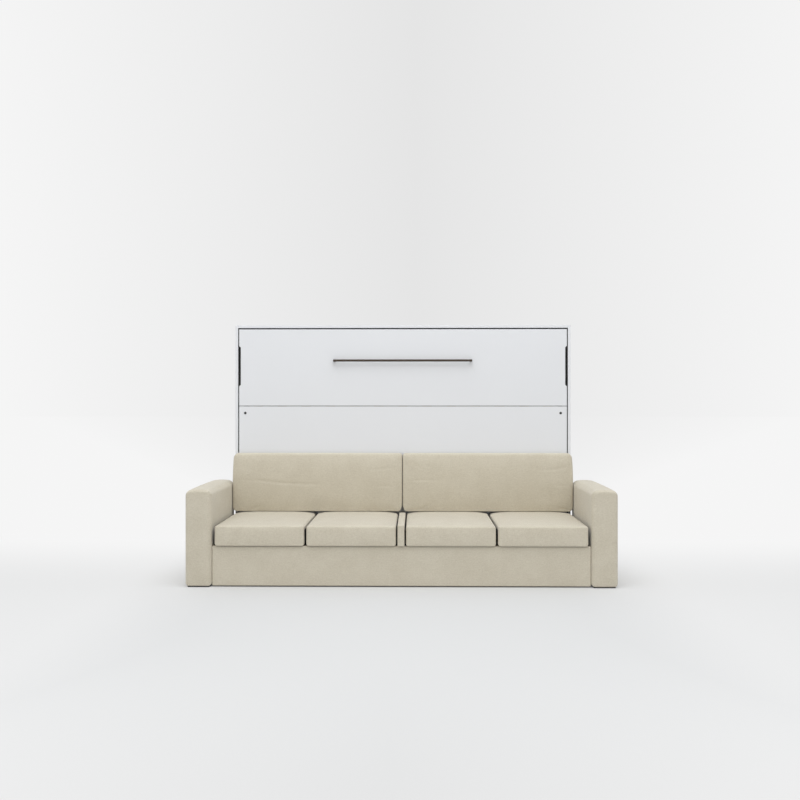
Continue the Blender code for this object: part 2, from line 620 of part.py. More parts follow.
def leaf_hinge():
    """A long hinge: the bed's leaf holds the pin, and the upper panel's leaf turns on it."""
    half = LEAF_LENGTH / 2
    leaf_bottom = LEAF_AXIS_Z - LEAF_HEIGHT
    bridge_top = LEAF_AXIS_Z + LEAF_BRIDGE / 2
    bed_leaf = bmesh.new()
    block(bed_leaf, (-half, RAIL_FRONT - GAP - LEAF_METAL, leaf_bottom),
          (half, RAIL_FRONT - GAP, bridge_top))
    panel_back = DOOR_BACK + GAP + LEAF_METAL
    panel_top = LEAF_AXIS_Z - KNUCKLE_RADIUS - KNUCKLE_GAP
    panel_leaf = bmesh.new()
    block(panel_leaf, (-half, DOOR_BACK + GAP, leaf_bottom), (half, panel_back, panel_top))
    bridges, bed_knuckles, tabs, panel_knuckles, pin, bore = (bmesh.new() for part in range(6))
    pitch = LEAF_LENGTH / KNUCKLE_COUNT
    for number in range(KNUCKLE_COUNT):
        low_x = number * pitch - half + KNUCKLE_GAP
        high_x = low_x + pitch - 2 * KNUCKLE_GAP
        start = (low_x, LEAF_AXIS_Y, LEAF_AXIS_Z)
        end = (high_x, LEAF_AXIS_Y, LEAF_AXIS_Z)
        if number % 2 == 0:
            block(bridges, (low_x, LEAF_AXIS_Y, LEAF_AXIS_Z - LEAF_BRIDGE / 2),
                  (high_x, RAIL_FRONT - GAP - LEAF_METAL / 2, bridge_top - LEAF_BRIDGE_STEP))
            bar(bed_knuckles, "X", start, end, KNUCKLE_RADIUS, SMALL_ROUND_SIDES)
        else:
            block(tabs, (low_x, DOOR_BACK + GAP, panel_top - LEAF_METAL), (high_x, panel_back, LEAF_AXIS_Z))
            bar(panel_knuckles, "X", start, end, KNUCKLE_RADIUS, SMALL_ROUND_SIDES)
    pin_half = half - KNUCKLE_GAP
    bar(pin, "X", (-pin_half, LEAF_AXIS_Y, LEAF_AXIS_Z), (pin_half, LEAF_AXIS_Y, LEAF_AXIS_Z),
        LEAF_PIN_RADIUS, SMALL_ROUND_SIDES)
    bar(bore, "X", (-half, LEAF_AXIS_Y, LEAF_AXIS_Z), (half, LEAF_AXIS_Y, LEAF_AXIS_Z),
        LEAF_PIN_RADIUS + BEARING_CLEARANCE, SMALL_ROUND_SIDES)
    bed_side = make("flap_hinge_bed_leaf", bed_leaf, STEEL, BED)
    for shape in (bridges, bed_knuckles, pin):
        unite(bed_side, shape)
    panel_side = make("flap_hinge_panel_leaf", panel_leaf, STEEL, LEG_PANEL)
    for shape in (tabs, panel_knuckles):
        unite(panel_side, shape)
    cut(panel_side, bore)


def grip_outline(side, trim, overrun):
    """The notch in the panel's edge, drawn in by trim and run out past the edge by overrun."""
    edge = side * DOOR_HALF_WIDTH
    outside = side * (DOOR_HALF_WIDTH + overrun)
    floor = side * (DOOR_HALF_WIDTH - GRIP_DEPTH + trim)
    mouth = GRIP_LENGTH / 2 - trim
    throat = mouth - GRIP_CHAMFER
    middle = DOOR_TOP - GRIP_BELOW_TOP
    outline = [(edge, middle + mouth), (floor, middle + throat), (floor, middle - throat),
               (edge, middle - mouth)]
    if overrun:
        outline += [(outside, middle - mouth), (outside, middle + mouth)]
    return outline


def upper_door():
    door = solid("upper_door_panel", (-DOOR_HALF_WIDTH, FRONT, LEG_PANEL_BOTTOM),
                 (DOOR_HALF_WIDTH, DOOR_BACK, DOOR_TOP), LACQUER, LEG_PANEL, BOARD_BEVEL)
    for side, label in SIDES:
        notch = bmesh.new()
        prism(notch, grip_outline(side, 0, OVERRUN), "Y", FRONT - OVERRUN, DOOR_BACK + OVERRUN)
        cut(door, notch)
        cup = bmesh.new()
        prism(cup, grip_outline(side, GAP, 0), "Y", FRONT + GAP, DOOR_BACK - GAP)
        piece = make(f"side_grip_{label}", cup, BLACK_PLASTIC, LEG_PANEL, smooth=False)
        hollow = bmesh.new()
        prism(hollow, grip_outline(side, GAP + GRIP_WALL, OVERRUN), "Y", FRONT - OVERRUN,
              DOOR_BACK - GAP - GRIP_WALL)
        cut(piece, hollow)
    top = LEG_PANEL_BOTTOM - GAP
    strip_front = (FRONT + DOOR_BACK - EDGE_STRIP_THICKNESS) / 2
    solid("leg_edge_strip", (-DOOR_HALF_WIDTH, strip_front, top - EDGE_STRIP_HEIGHT),
          (DOOR_HALF_WIDTH, strip_front + EDGE_STRIP_THICKNESS, top), BLACK_PLASTIC, LEG_PANEL)


def handle():
    middle = DOOR_TOP - HANDLE_BELOW_TOP
    low_z = middle - HANDLE_HEIGHT / 2
    high_z = middle + HANDLE_HEIGHT / 2
    half = HANDLE_LENGTH / 2
    bar_front = FRONT - HANDLE_REACH
    bar_back = bar_front + HANDLE_BAR_DEPTH
    solid("handle_bar", (-half, bar_front, low_z), (half, bar_back, high_z), BRONZE, LEG_PANEL,
          HANDLE_BEVEL)
    for side, label in SIDES:
        x = mirror_span(side, half - HANDLE_POST_WIDTH, half)
        solid(f"handle_post_{label}", (x[0], bar_back + GAP, low_z), (x[1], FRONT - GAP, high_z), BRONZE,
              LEG_PANEL, HANDLE_BEVEL)


def arms():
    for side, label in SIDES:
        x = mirror_span(side, ARM_INNER, ARM_INNER + ARM_WIDTH)
        low = (x[0], SOFA_FRONT, ARM_LIFT)
        high = (x[1], FRONT, ARM_TOP)
        crowns = (0, 0, ARM_FRONT_CROWN, 0, 0, ARM_CROWN)
        cover = make(f"arm_{label}", soft_box(low, high, ARM_RADIUS, (4, 5, 4), crowns), LINEN)
        foam = ARM_FOAM
        hollow = bmesh.new()
        block(hollow, (x[0] + foam, SOFA_FRONT + foam, ARM_LIFT - OVERRUN),
              (x[1] - foam, FRONT - foam, ARM_TOP - ARM_RADIUS))
        cut(cover, hollow)
        fit = foam + GAP
        frame_low = Vector((x[0] + fit, SOFA_FRONT + fit, 0))
        frame_high = Vector((x[1] - fit, FRONT - fit, ARM_TOP - ARM_RADIUS - GAP))
        frame = solid(f"arm_frame_{label}", frame_low, frame_high, PINE)
        wall = Vector((ARM_BOARD, ARM_BOARD, ARM_BOARD))
        inside = bmesh.new()
        block(inside, frame_low + Vector((ARM_BOARD, ARM_BOARD, -OVERRUN)), frame_high - wall)
        cut(frame, inside)


def seat_base():
    inner = ARM_INNER - GAP
    low = (-inner, BASE_FRONT, BASE_LIFT)
    high = (inner, BASE_BACK, BASE_TOP)
    shape = soft_box(low, high, BASE_RADIUS, (2, 1, 2), round_steps=1)
    make("seat_front_rail", shape, LINEN, origin=centre(low, high))
    rail_front = BASE_BACK + GAP
    for side, label in SIDES:
        x = mirror_span(side, inner - SEAT_RAIL_THICKNESS, inner)
        solid(f"seat_side_rail_{label}", (x[0], rail_front, SEAT_RAIL_BOTTOM),
              (x[1], SOFA_BACK, SEAT_RAIL_TOP), PINE)
    beam_pitch = 2 * inner / (len(BEAM_NAMES) + 1)
    half = SEAT_LEG_SIZE / 2
    for number, label in enumerate(BEAM_NAMES, 1):
        x = number * beam_pitch - inner
        beam = solid(f"seat_beam_{label}", (x - SEAT_BEAM_WIDTH / 2, rail_front, SEAT_RAIL_BOTTOM),
                     (x + SEAT_BEAM_WIDTH / 2, SOFA_BACK, SEAT_RAIL_TOP), PINE)
        legs = bmesh.new()
        for y in (rail_front + SEAT_LEG_INSET, SOFA_BACK - SEAT_LEG_INSET):
            block(legs, (x - half, y - half, 0), (x + half, y + half, SEAT_RAIL_BOTTOM + SEAT_LEG_JOINT))
        unite(beam, legs)
    solid("seat_deck", (-inner, rail_front, DECK_BOTTOM), (inner, SOFA_BACK, BASE_TOP), PINE)


def seat_cushions():
    low_z = BASE_TOP + GAP
    low_y = SOFA_FRONT + SEAT_SETBACK
    high_y = FRONT - SEAT_BACK_CLEARANCE
    gaps = (SEAT_CUSHION_COUNT - 2) * SEAT_GAP + 2 * FILLER_GAP + FILLER_WIDTH
    width = (2 * (ARM_INNER - SEAT_TO_ARM) - gaps) / SEAT_CUSHION_COUNT
    crowns = (0, 0, SEAT_FRONT_CROWN, 0, 0, SEAT_CROWN)
    place = SEAT_TO_ARM - ARM_INNER
    for number in range(1, SEAT_CUSHION_COUNT + 1):
        low = (place, low_y, low_z)
        high = (place + width, high_y, SEAT_TOP)
        shape = soft_box(low, high, SEAT_RADIUS, (5, 6, 2), crowns, (SEAT_PULL, 0, 0), (SEAT_PUFF, 0, 0))
        make(f"seat_cushion_{number}", shape, LINEN, origin=centre(low, high))
        place += width
        if number != SEAT_CUSHION_COUNT // 2:
            place += SEAT_GAP
        else:
            place += FILLER_GAP
            low = (place, low_y, low_z)
            high = (place + FILLER_WIDTH, high_y, SEAT_TOP - FILLER_BELOW_TOP)
            filler_crowns = (0, 0, SEAT_FRONT_CROWN, 0, 0, 0)
            shape = soft_box(low, high, FILLER_RADIUS, (1, 4, 2), filler_crowns, round_steps=1)
            make("filler_cushion", shape, LINEN, origin=centre(low, high))
            place += FILLER_WIDTH + FILLER_GAP


def back_cushions():
    for side, label in SIDES:
        x = mirror_span(side, BACK_CUSHION_GAP / 2, ARM_INNER - BACK_CUSHION_TO_ARM)
        low = (x[0], BACK_CUSHION_FRONT, BACK_CUSHION_BOTTOM)
        high = (x[1], BACK_CUSHION_REAR, BACK_CUSHION_TOP)
        middle = centre(low, high)
        tip = pivot(f"back_cushion_{label}_pivot", (middle.x, BACK_CUSHION_FRONT, BACK_CUSHION_BOTTOM))
        crowns = (0, 0, BACK_CUSHION_CROWN, BACK_CUSHION_REAR_CROWN, 0, 0)
        pull = (BACK_CUSHION_PULL, 0, BACK_CUSHION_PULL)
        shape = soft_box(low, high, BACK_CUSHION_RADIUS, (8, 1, 5), crowns, pull)
        make(f"back_cushion_{label}", shape, LINEN, tip, middle)


def turned(profile, sides):
    """A closed body turned round Z from an outline of (radius, height) points that starts and ends at Z."""
    shape = bmesh.new()
    rings = []
    for radius, height in profile:
        turns = [2 * math.pi * i / sides for i in range(sides if radius else 1)]
        points = [(radius * math.cos(turn), radius * math.sin(turn), height) for turn in turns]
        rings.append([shape.verts.new(point) for point in points])
    for first, second in zip(rings, rings[1:]):
        for i in range(sides):
            nxt = (i + 1) % sides
            corners = (first[i % len(first)], first[nxt % len(first)],
                       second[nxt % len(second)], second[i % len(second)])
            shape.faces.new(list(dict.fromkeys(corners)))
    return shape


def gas_springs():
    """A cylinder that turns on the cabinet's anchor and a rod that slides in it towards the bed's stud."""
    reach_y = STUD_Y - ANCHOR_Y
    reach_z = STUD_Z - ANCHOR_Z
    length = math.hypot(reach_y, reach_z)
    tilt = math.atan2(-reach_y, reach_z)
    for side, label in SIDES:
        place = (side * SPRING_X, ANCHOR_Y, ANCHOR_Z)
        shoulder = CYLINDER_RADIUS - CYLINDER_CHAMFER
        body = turned(((0, EYE_RADIUS / 2), (shoulder, EYE_RADIUS / 2),
                       (CYLINDER_RADIUS, EYE_RADIUS + CYLINDER_CHAMFER),
                       (CYLINDER_RADIUS, CYLINDER_LENGTH - CYLINDER_CHAMFER), (shoulder, CYLINDER_LENGTH),
                       (CYLINDER_BORE_RADIUS, CYLINDER_LENGTH),
                       (CYLINDER_BORE_RADIUS, CYLINDER_BORE_START), (0, CYLINDER_BORE_START)), ROUND_SIDES)
        cylinder = make(f"gas_cylinder_{label}", body, FRAME_PAINT)
        rod_start = CYLINDER_LENGTH - ROD_INSIDE
        rod_profile = ((0, rod_start), (ROD_RADIUS, rod_start), (ROD_RADIUS, length), (0, length))
        rod_shape = turned(rod_profile, SMALL_ROUND_SIDES)
        rod = make(f"gas_rod_{label}", rod_shape, STEEL)
        for piece, eye_z in ((cylinder, 0), (rod, length)):
            eye = bmesh.new()
            half = EYE_WIDTH / 2
            bar(eye, "X", (-half, 0, eye_z), (half, 0, eye_z), EYE_RADIUS, SMALL_ROUND_SIDES)
            hole = bmesh.new()
            bar(hole, "X", (-EYE_WIDTH, 0, eye_z), (EYE_WIDTH, 0, eye_z),
                ANCHOR_PIN_RADIUS + BEARING_CLEARANCE, SMALL_ROUND_SIDES)
            for shape, change in ((eye, unite), (hole, cut)):
                change(piece, shape)
                helper = piece.modifiers[-1].object
                helper.location = place
                helper.rotation_euler = (tilt, 0, 0)
            piece.location = place
            piece.rotation_euler = (tilt, 0, 0)


cabinet()
pivot_plates()
spring_anchors()
closing_stops()
bed_frame()
slatted_base()
lower_door()
mattress()
bed_hinge_plates()
leaf_hinge()
upper_door()
handle()
arms()
seat_base()
seat_cushions()
back_cushions()
gas_springs()
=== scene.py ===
"""Looks of the horizontal wall bed and its sofa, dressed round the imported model."""
import math

import bmesh
import bpy
import numpy as np
from mathutils import Matrix, Vector


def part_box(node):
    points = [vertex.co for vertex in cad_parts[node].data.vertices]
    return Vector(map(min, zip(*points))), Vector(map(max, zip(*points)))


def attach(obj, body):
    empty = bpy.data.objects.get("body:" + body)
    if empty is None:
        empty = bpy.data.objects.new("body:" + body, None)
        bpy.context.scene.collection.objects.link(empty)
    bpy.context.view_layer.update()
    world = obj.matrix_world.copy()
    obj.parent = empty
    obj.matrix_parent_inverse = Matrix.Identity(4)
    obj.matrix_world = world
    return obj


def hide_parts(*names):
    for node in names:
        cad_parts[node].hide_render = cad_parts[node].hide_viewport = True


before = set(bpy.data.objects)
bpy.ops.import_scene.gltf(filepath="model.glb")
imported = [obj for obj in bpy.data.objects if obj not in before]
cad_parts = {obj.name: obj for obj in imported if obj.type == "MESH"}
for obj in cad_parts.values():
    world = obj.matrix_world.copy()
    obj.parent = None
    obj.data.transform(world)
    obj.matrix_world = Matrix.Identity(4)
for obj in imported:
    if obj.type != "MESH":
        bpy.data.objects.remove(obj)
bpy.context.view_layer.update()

SIDES = ((-1, "left"), (1, "right"))

# Camera, fitted to the edges of the photograph
CAMERA_PLACE = (0.0833, -6.2966, 1.0469)
CAMERA_YAW = 0.0155
CAMERA_PITCH = 0.0005
CAMERA_LENS = 46.0

# Light and ground. The floor takes on the backdrop's colour, for the camera alone, between the distances
# FLOOR_NEAR and FLOOR_FAR from the middle, from FLOOR_FRONT to FLOOR_BEHIND in depth, and to both sides
SKY_STRENGTH = 0.76
SKY_COLOUR = (0.985, 0.99, 0.99)
BACKDROP_MIDDLE = (0.785, 0.785, 0.785)
BACKDROP_SIDES = (0.915, 0.915, 0.915)
BACKDROP_SPREAD = 0.38
OVERHEAD_WATTS = 270
OVERHEAD_COLOUR = (0.955, 0.98, 1.0)
OVERHEAD_SIZE = 6.0
OVERHEAD_PLACE = (0.0, -2.85, 6.3)
OVERHEAD_AIM = (0, -0.3, 0)
FILL_WATTS = 10
FILL_COLOUR = (1.0, 0.99, 0.97)
FILL_SIZE = 4.0
FILL_PLACE = (-0.8, -7.5, 2.6)
FILL_AIM = (0, 0, 0.6)
FLOOR_HALF = 60.0
FLOOR_COLOUR = (0.64, 0.64, 0.64)
FLOOR_NEAR = 1.8
FLOOR_FAR = 5.0
FLOOR_FRONT = -0.7
FLOOR_BEHIND = 1.4
FLOOR_BEHIND_SHARE = 0.5
FLOOR_BESIDE = (0.9, 1.6)
FLOOR_BESIDE_SHARE = 0.5

# Forms of the soft pieces
ROUND_STEPS = 3
SPACING = 0.014
EDGE_SPACING = 0.006
SEAM_DEPTH = 0.0012
BORDER_LIMIT = 0.8
CLOTH_PRESSURE = 4.0
CLOTH_FRAMES = 20
CLOTH_QUALITY = 5
TINY = 1e-9

ARM_EDGE = 0.008
ARM_OUTER_CORNER = 0.018
ARM_INNER_CORNER = 0.030
ARM_TOP_CORNER = 0.028
ARM_FRONT_TOP = 0.016
ARM_FOOT_CORNER = 0.018
ARM_CROWNS = (0, 0, 0.004, 0, 0, 0.014)
ARM_CROWN_POWERS = (2, 3, 4)
ARM_CROWN_KEPT = (0, 0, 0.5, 0.65, 0, 0)
BASE_RADIUS = 0.006
SEAT_EDGE = 0.007
SEAT_CORNER = 0.015
SEAT_TOP_CORNER = 0.009
SEAT_CROWNS = (0, 0, 0.005, 0, 0, 0.010)
SEAT_CROWN_POWERS = (4, 5, 3)
SEAT_CROWN_KEPT = (0, 0, 0, 0.9, 0, 0)
SEAT_PULL = 0.0005
SEAT_REACH = 0.0005
FILLER_RADIUS = 0.005
FILLER_REACH = 0.0012
FILLER_SEAM = 0.0006
BACK_EDGE = 0.004
BACK_TOP_EDGE = 0.011
BACK_SIDE_EDGE = 0.012
BACK_MIDDLE_EDGE = 0.006
BACK_REACH = 0.0012
BACK_SEAM = 0.0008
BACK_CROWNS = (0, 0, 0.014, 0.004, 0, 0.003)
BACK_CROWN_POWERS = (8, 2, 2)
BACK_TOP_OUTER = 0.028
BACK_TOP_INNER = 0.017
BACK_FOOT = 0.030
BACK_MIDDLE_FOOT = (0.024, 0.055)
BACK_FOOT_KEEP = 0.35
BACK_SIDE_KEEP = 0.55
BACK_LEAN = 0.008
BACK_LEAN_POWER = 8
SEAT_SWELL = 0.005
SEAT_FREEDOM = (0.2, 0.4, 0.8)
BACK_SWELL = 0.007
BACK_FREEDOM = (0.2, 0.7, 0.15)
MATTRESS_RADIUS = 0.035
MATTRESS_CROWN = 0.006
QUILT_PITCH = 0.15
QUILT_DEPTH = 0.006
QUILT_FADE_POWER = 12

# Which faces count as flat or as a side, and how far the black cloth on the seat cushions' sides reaches
# towards front and top: painted shade that darkens the gaps between the cushions
FLAT_FACING = 0.99
SIDE_FACING = 0.9
GAP_SHADE_FRONT = -0.94
GAP_SHADE_TOP = 0.7

# Folds: the swelling below each, as a share of its depth and in widths of the fold
FOLD_SWELLING = 0.2
FOLD_SWELLING_DROP = 2.4
FOLD_SWELLING_WIDTH = 1.6
FOLD_SWELLING_REACH = 4
FOLD_TAPER_POWER = 0.7

# Small trim
SHEET_GAP = 0.0001
# The black foot band is partly painted shade: it hides the frame and also gives the dark line under each arm
FOOT_BAND_HEIGHT = 0.007
FOOT_BAND_THICKNESS = 0.001
# Black strips in the door gaps and on the cabinet's front edges: painted shade that darkens the gaps round
# the doors
GAP_SHADE_SETBACK = 0.0015
GAP_SHADE_CLEARANCE = 0.0008
GAP_SHADE_LIP = 0.002
GAP_SHADE_LIP_THICKNESS = 0.0003
STRAP_THICKNESS = 0.0018
STRAP_TURN = 0.030
STRAP_STEPS = 8
PIPING_RADIUS = 0.0038
SCREW_RADIUS = 0.0045
SCREW_HEIGHT = 0.0003
SCREW_SIDES = 16
SCREW_INSET = 0.012
SCREWS_ACROSS = 11
SCREWS_UP = 7
# Rings of a screw head from its rim inwards: shares of the radius and of the height
SCREW_RINGS = ((1.0, 0.0), (1.0, 0.35), (0.82, 0.8), (0.45, 1.0), (0.4, 0.55), (0.12, 0.3))

# Textures: the range that holds most of Blender's noise, and the linen's grain, as waves per metre along
# and across the threads and as its weight in the tone
NOISE_RANGE = (0.3, 0.7)
SLUB = (95, 420)
SLUB_TONE = 0.45
STREAK = (34, 190)
STREAK_TONE = 0.2
UPRIGHT = (85, 420)
UPRIGHT_TONE = 0.3
FLECK = 150
FLECK_TONE = 0.3
PATCH = 10
PATCH_TONE = 0.22
LINEN_PITCH = 0.0021
LINEN_DARK = (0.490, 0.436, 0.333)
LINEN_LIGHT = (0.632, 0.583, 0.473)
# Painted shade for the hollows between the linen's threads
LINEN_HOLLOW_SHADE = (0.30, 0.26, 0.19)
PINE_COLOURS = ((0.70, 0.52, 0.32), (0.50, 0.33, 0.18))
PINE_PITCH = 0.011
BEECH_COLOURS = ((0.72, 0.54, 0.36), (0.60, 0.42, 0.26))
BEECH_PITCH = 0.006

# Creases in the back cushions: places along each fold as (x, z), its depth and its width
CREASES = {
    "left": (
        (((-1.035, 0.544), (-1.002, 0.549), (-0.936, 0.552), (-0.868, 0.548), (-0.815, 0.541),
          (-0.749, 0.534), (-0.62, 0.529), (-0.46, 0.528)), 0.0026, 0.0065),
        (((-0.215, 0.614), (-0.13, 0.620), (-0.035, 0.635)), 0.0016, 0.006),
        (((-0.175, 0.515), (-0.10, 0.514), (-0.03, 0.516)), 0.0014, 0.005),
        (((-0.955, 0.366), (-0.915, 0.378), (-0.865, 0.403)), 0.0015, 0.007),
        (((-1.02, 0.640), (-0.97, 0.622), (-0.90, 0.606)), 0.001, 0.007),
    ),
    "right": (
        (((0.035, 0.551), (0.10, 0.553), (0.17, 0.553), (0.235, 0.549)), 0.0022, 0.0055),
        (((0.037, 0.668), (0.11, 0.632), (0.19, 0.596)), 0.0014, 0.007),
        (((0.07, 0.690), (0.15, 0.640), (0.26, 0.606)), 0.0011, 0.008),
        (((0.037, 0.362), (0.10, 0.370), (0.16, 0.394), (0.222, 0.429)), 0.0021, 0.007),
        (((0.855, 0.612), (0.953, 0.621), (1.05, 0.643)), 0.0017, 0.0065),
        (((0.935, 0.521), (1.0, 0.520), (1.05, 0.524)), 0.0012, 0.006),
        (((0.94, 0.385), (1.0, 0.376), (1.05, 0.366)), 0.0015, 0.007),
    ),
}


class Finish:
    """A material being built: its node tree and short ways to add and join nodes."""

    def __init__(self, name, **sockets):
        self.material = bpy.data.materials.new(name)
        self.material.use_nodes = True
        self.tree = self.material.node_tree
        self.shader = self.tree.nodes["Principled BSDF"]
        self.place = self.add("ShaderNodeTexCoord")
        for socket, value in sockets.items():
            self.shader.inputs[socket.replace("_", " ")].default_value = value

    @classmethod
    def of_world(cls, world):
        """The same short ways for the world's node tree."""
        finish = cls.__new__(cls)
        finish.tree = world.node_tree
        finish.place = finish.add("ShaderNodeTexCoord")
        return finish

    def add(self, kind, inputs=None, **settings):
        node = self.tree.nodes.new(kind)
        for name, value in settings.items():
            setattr(node, name, value)
        for socket, value in (inputs or {}).items():
            self.put(node, socket, value)
        return node

    def put(self, node, socket, value):
        if isinstance(value, bpy.types.NodeSocket):
            self.tree.links.new(value, node.inputs[socket])
        else:
            node.inputs[socket].default_value = value

    def scaled(self, x, y, z, turn=0.0):
        """The object's own coordinates in metres, times a scale along each axis."""
        node = self.add("ShaderNodeMapping", {"Vector": self.place.outputs["Object"], "Scale": (x, y, z),
                                              "Rotation": (0, 0, turn)})
        return node.outputs["Vector"]

    def noise(self, vector, scale=1.0, detail=3.0, roughness=0.5):
        node = self.add("ShaderNodeTexNoise", {"Vector": vector, "Scale": scale, "Detail": detail,
                                               "Roughness": roughness})
        return node.outputs["Fac"]

    def math(self, operation, a, b=0.0, clamp=False):
        node = self.add("ShaderNodeMath", {0: a, 1: b}, operation=operation, use_clamp=clamp)
        return node.outputs["Value"]

    def blend(self, share, a, b):
        node = self.add("ShaderNodeMix", {"Factor": share, "A": a, "B": b}, data_type="FLOAT")
        return node.outputs["Result"]

    def tint(self, share, a, b, how="MIX"):
        """Mixes two colours; a and b are colours or sockets."""
        node = self.add("ShaderNodeMix", {0: share}, data_type="RGBA", blend_type=how)
        for socket, value in ((6, a), (7, b)):
            self.put(node, socket, value if isinstance(value, bpy.types.NodeSocket) else (*value, 1.0))
        return node.outputs[2]

    def level(self, value, low, high, new_low=0.0, new_high=1.0):
        """Stretches a range of values to another, with its ends held."""
        node = self.add("ShaderNodeMapRange", {"Value": value, "From Min": low, "From Max": high,
                                               "To Min": new_low, "To Max": new_high})
        return node.outputs["Result"]

    def eased(self, value, low, high):
        """0 below low, 1 above high and a smooth step between."""
        node = self.add("ShaderNodeMapRange", {"Value": value, "From Min": low, "From Max": high},
                        interpolation_type="SMOOTHSTEP")
        return node.outputs["Result"]

    def bump(self, height, distance, strength=1.0, normal=None):
        node = self.add("ShaderNodeBump", {"Height": height, "Distance": distance, "Strength": strength})
        if normal:
            self.put(node, "Normal", normal)
        return node.outputs["Normal"]

    def done(self, colour=None, roughness=None, normal=None):
        for socket, value in (("Base Color", colour), ("Roughness", roughness), ("Normal", normal)):
            if value is not None:
                self.put(self.shader, socket, value)
        return self.material

    def facing(self, axis):
        """How much the surface faces along one of the object's own axes, from 0 to 1."""
        parts = self.add("ShaderNodeSeparateXYZ", {0: self.place.outputs["Normal"]})
        return self.level(self.math("ABSOLUTE", parts.outputs[axis]), 0.6, 0.8)

    def laid(self, along_scale, across_scale, detail=3.0, roughness=0.5):
        """Noise drawn out level along the cloth, on upright and on flat faces alike."""
        upright = self.noise(self.scaled(along_scale, along_scale, across_scale), 1.0, detail, roughness)
        flat = self.noise(self.scaled(along_scale, across_scale, along_scale), 1.0, detail, roughness)
        return self.blend(self.facing("Z"), upright, flat)

    def raised(self, along_scale, across_scale, detail=3.0):
        """Noise drawn out across the level threads: upright on the sides, front to back on top."""
        front = self.noise(self.scaled(across_scale, along_scale, along_scale), 1.0, detail)
        side = self.noise(self.scaled(along_scale, across_scale, along_scale), 1.0, detail)
        return self.blend(self.facing("X"), front, side)

    def threads(self, pitch):
        """Two sets of crossing threads as a height from 0 to 1."""
        turns = 2 * math.pi / pitch
        parts = self.add("ShaderNodeSeparateXYZ", {0: self.scaled(turns, turns, turns)})
        across = self.blend(self.facing("X"), parts.outputs["X"], parts.outputs["Y"])
        up = self.blend(self.facing("Z"), parts.outputs["Z"], parts.outputs["Y"])
        wave = self.math("MULTIPLY", self.math("SINE", across), self.math("SINE", up))
        return self.level(wave, -1, 1)


def linen():
    """Heathered beige linen: fine crossing threads, level slubs and soft patches of tone."""
    finish = Finish("beige_linen", Roughness=0.62, Sheen_Weight=0.3, Sheen_Roughness=0.5,
                    Specular_IOR_Level=0.75)
    slub = finish.laid(*SLUB, 4, 0.6)
    streak = finish.laid(*STREAK, 3, 0.6)
    upright = finish.raised(*UPRIGHT)
    fleck = finish.noise(finish.scaled(FLECK, FLECK, FLECK), 1.0, 2)
    patch = finish.noise(finish.scaled(PATCH, PATCH, PATCH), 1.0, 3)
    weave = finish.threads(LINEN_PITCH)
    tone = finish.level(slub, *NOISE_RANGE, -SLUB_TONE, SLUB_TONE)
    for grain, weight in ((streak, STREAK_TONE), (upright, UPRIGHT_TONE), (fleck, FLECK_TONE),
                          (patch, PATCH_TONE)):
        tone = finish.math("ADD", tone, finish.level(grain, *NOISE_RANGE, -weight, weight))
    colour = finish.tint(finish.level(tone, -0.9, 0.9), LINEN_DARK, LINEN_LIGHT)
    # The weave's low places are darkened: painted shade in the hollows between the threads
    colour = finish.tint(finish.level(weave, 0.0, 0.45, 0.16, 0.0), colour, LINEN_HOLLOW_SHADE)
    normal = finish.bump(weave, 0.0005, 0.5)
    rough = finish.math("ADD", slub, finish.math("MULTIPLY", upright, 0.6))
    normal = finish.bump(rough, 0.0009, 0.45, normal)
    return finish.done(colour, None, normal)


def lacquer(name, colour, roughness):
    """Sprayed lacquer: hardly any texture, a faint orange peel and a slightly uneven gloss."""
    finish = Finish(name, Coat_Weight=0.06, Coat_Roughness=0.2)
    peel = finish.noise(finish.scaled(420, 420, 420), 1.0, 2)
    cloud = finish.noise(finish.scaled(2.2, 2.2, 2.2), 1.0, 3)
    shade = finish.tint(finish.level(cloud, *NOISE_RANGE, 0.0, 0.35), colour,
                        [part * 0.975 for part in colour])
    smear = finish.noise(finish.scaled(26, 26, 26), 1.0, 4)
    gloss = finish.level(smear, *NOISE_RANGE, roughness, roughness + 0.07)
    return finish.done(shade, gloss, finish.bump(peel, 0.00004, 0.5))


def metal(name, colour, roughness, grain=(40, 900, 900), metallic=1.0, unevenness=0.12):
    """Brushed or plated metal with a fine grain and cloudy roughness."""
    finish = Finish(name, Metallic=metallic)
    brushed = finish.noise(finish.scaled(*grain), 1.0, 3)
    cloud = finish.noise(finish.scaled(14, 14, 14), 1.0, 3)
    shade = finish.tint(finish.level(brushed, *NOISE_RANGE), [part * 0.82 for part in colour],
                        [min(1, part * 1.15) for part in colour])
    rough = finish.level(finish.math("ADD", brushed, cloud), 0.6, 1.4, roughness - unevenness / 2,
                         roughness + unevenness / 2)
    return finish.done(shade, rough, finish.bump(brushed, 0.00006, 0.5))


def paint(name, colour, roughness, metallic=0.0):
    """Powder coat, moulded plastic or rubber: a fine even pebble in the surface."""
    finish = Finish(name, Metallic=metallic)
    pebble = finish.noise(finish.scaled(900, 900, 900), 1.0, 2)
    cloud = finish.noise(finish.scaled(18, 18, 18), 1.0, 3)
    shade = finish.tint(finish.level(cloud, *NOISE_RANGE), [part * 0.86 for part in colour],
                        [part * 1.12 for part in colour])
    rough = finish.level(cloud, *NOISE_RANGE, roughness - 0.06, roughness + 0.06)
    return finish.done(shade, rough, finish.bump(pebble, 0.00012, 0.5))


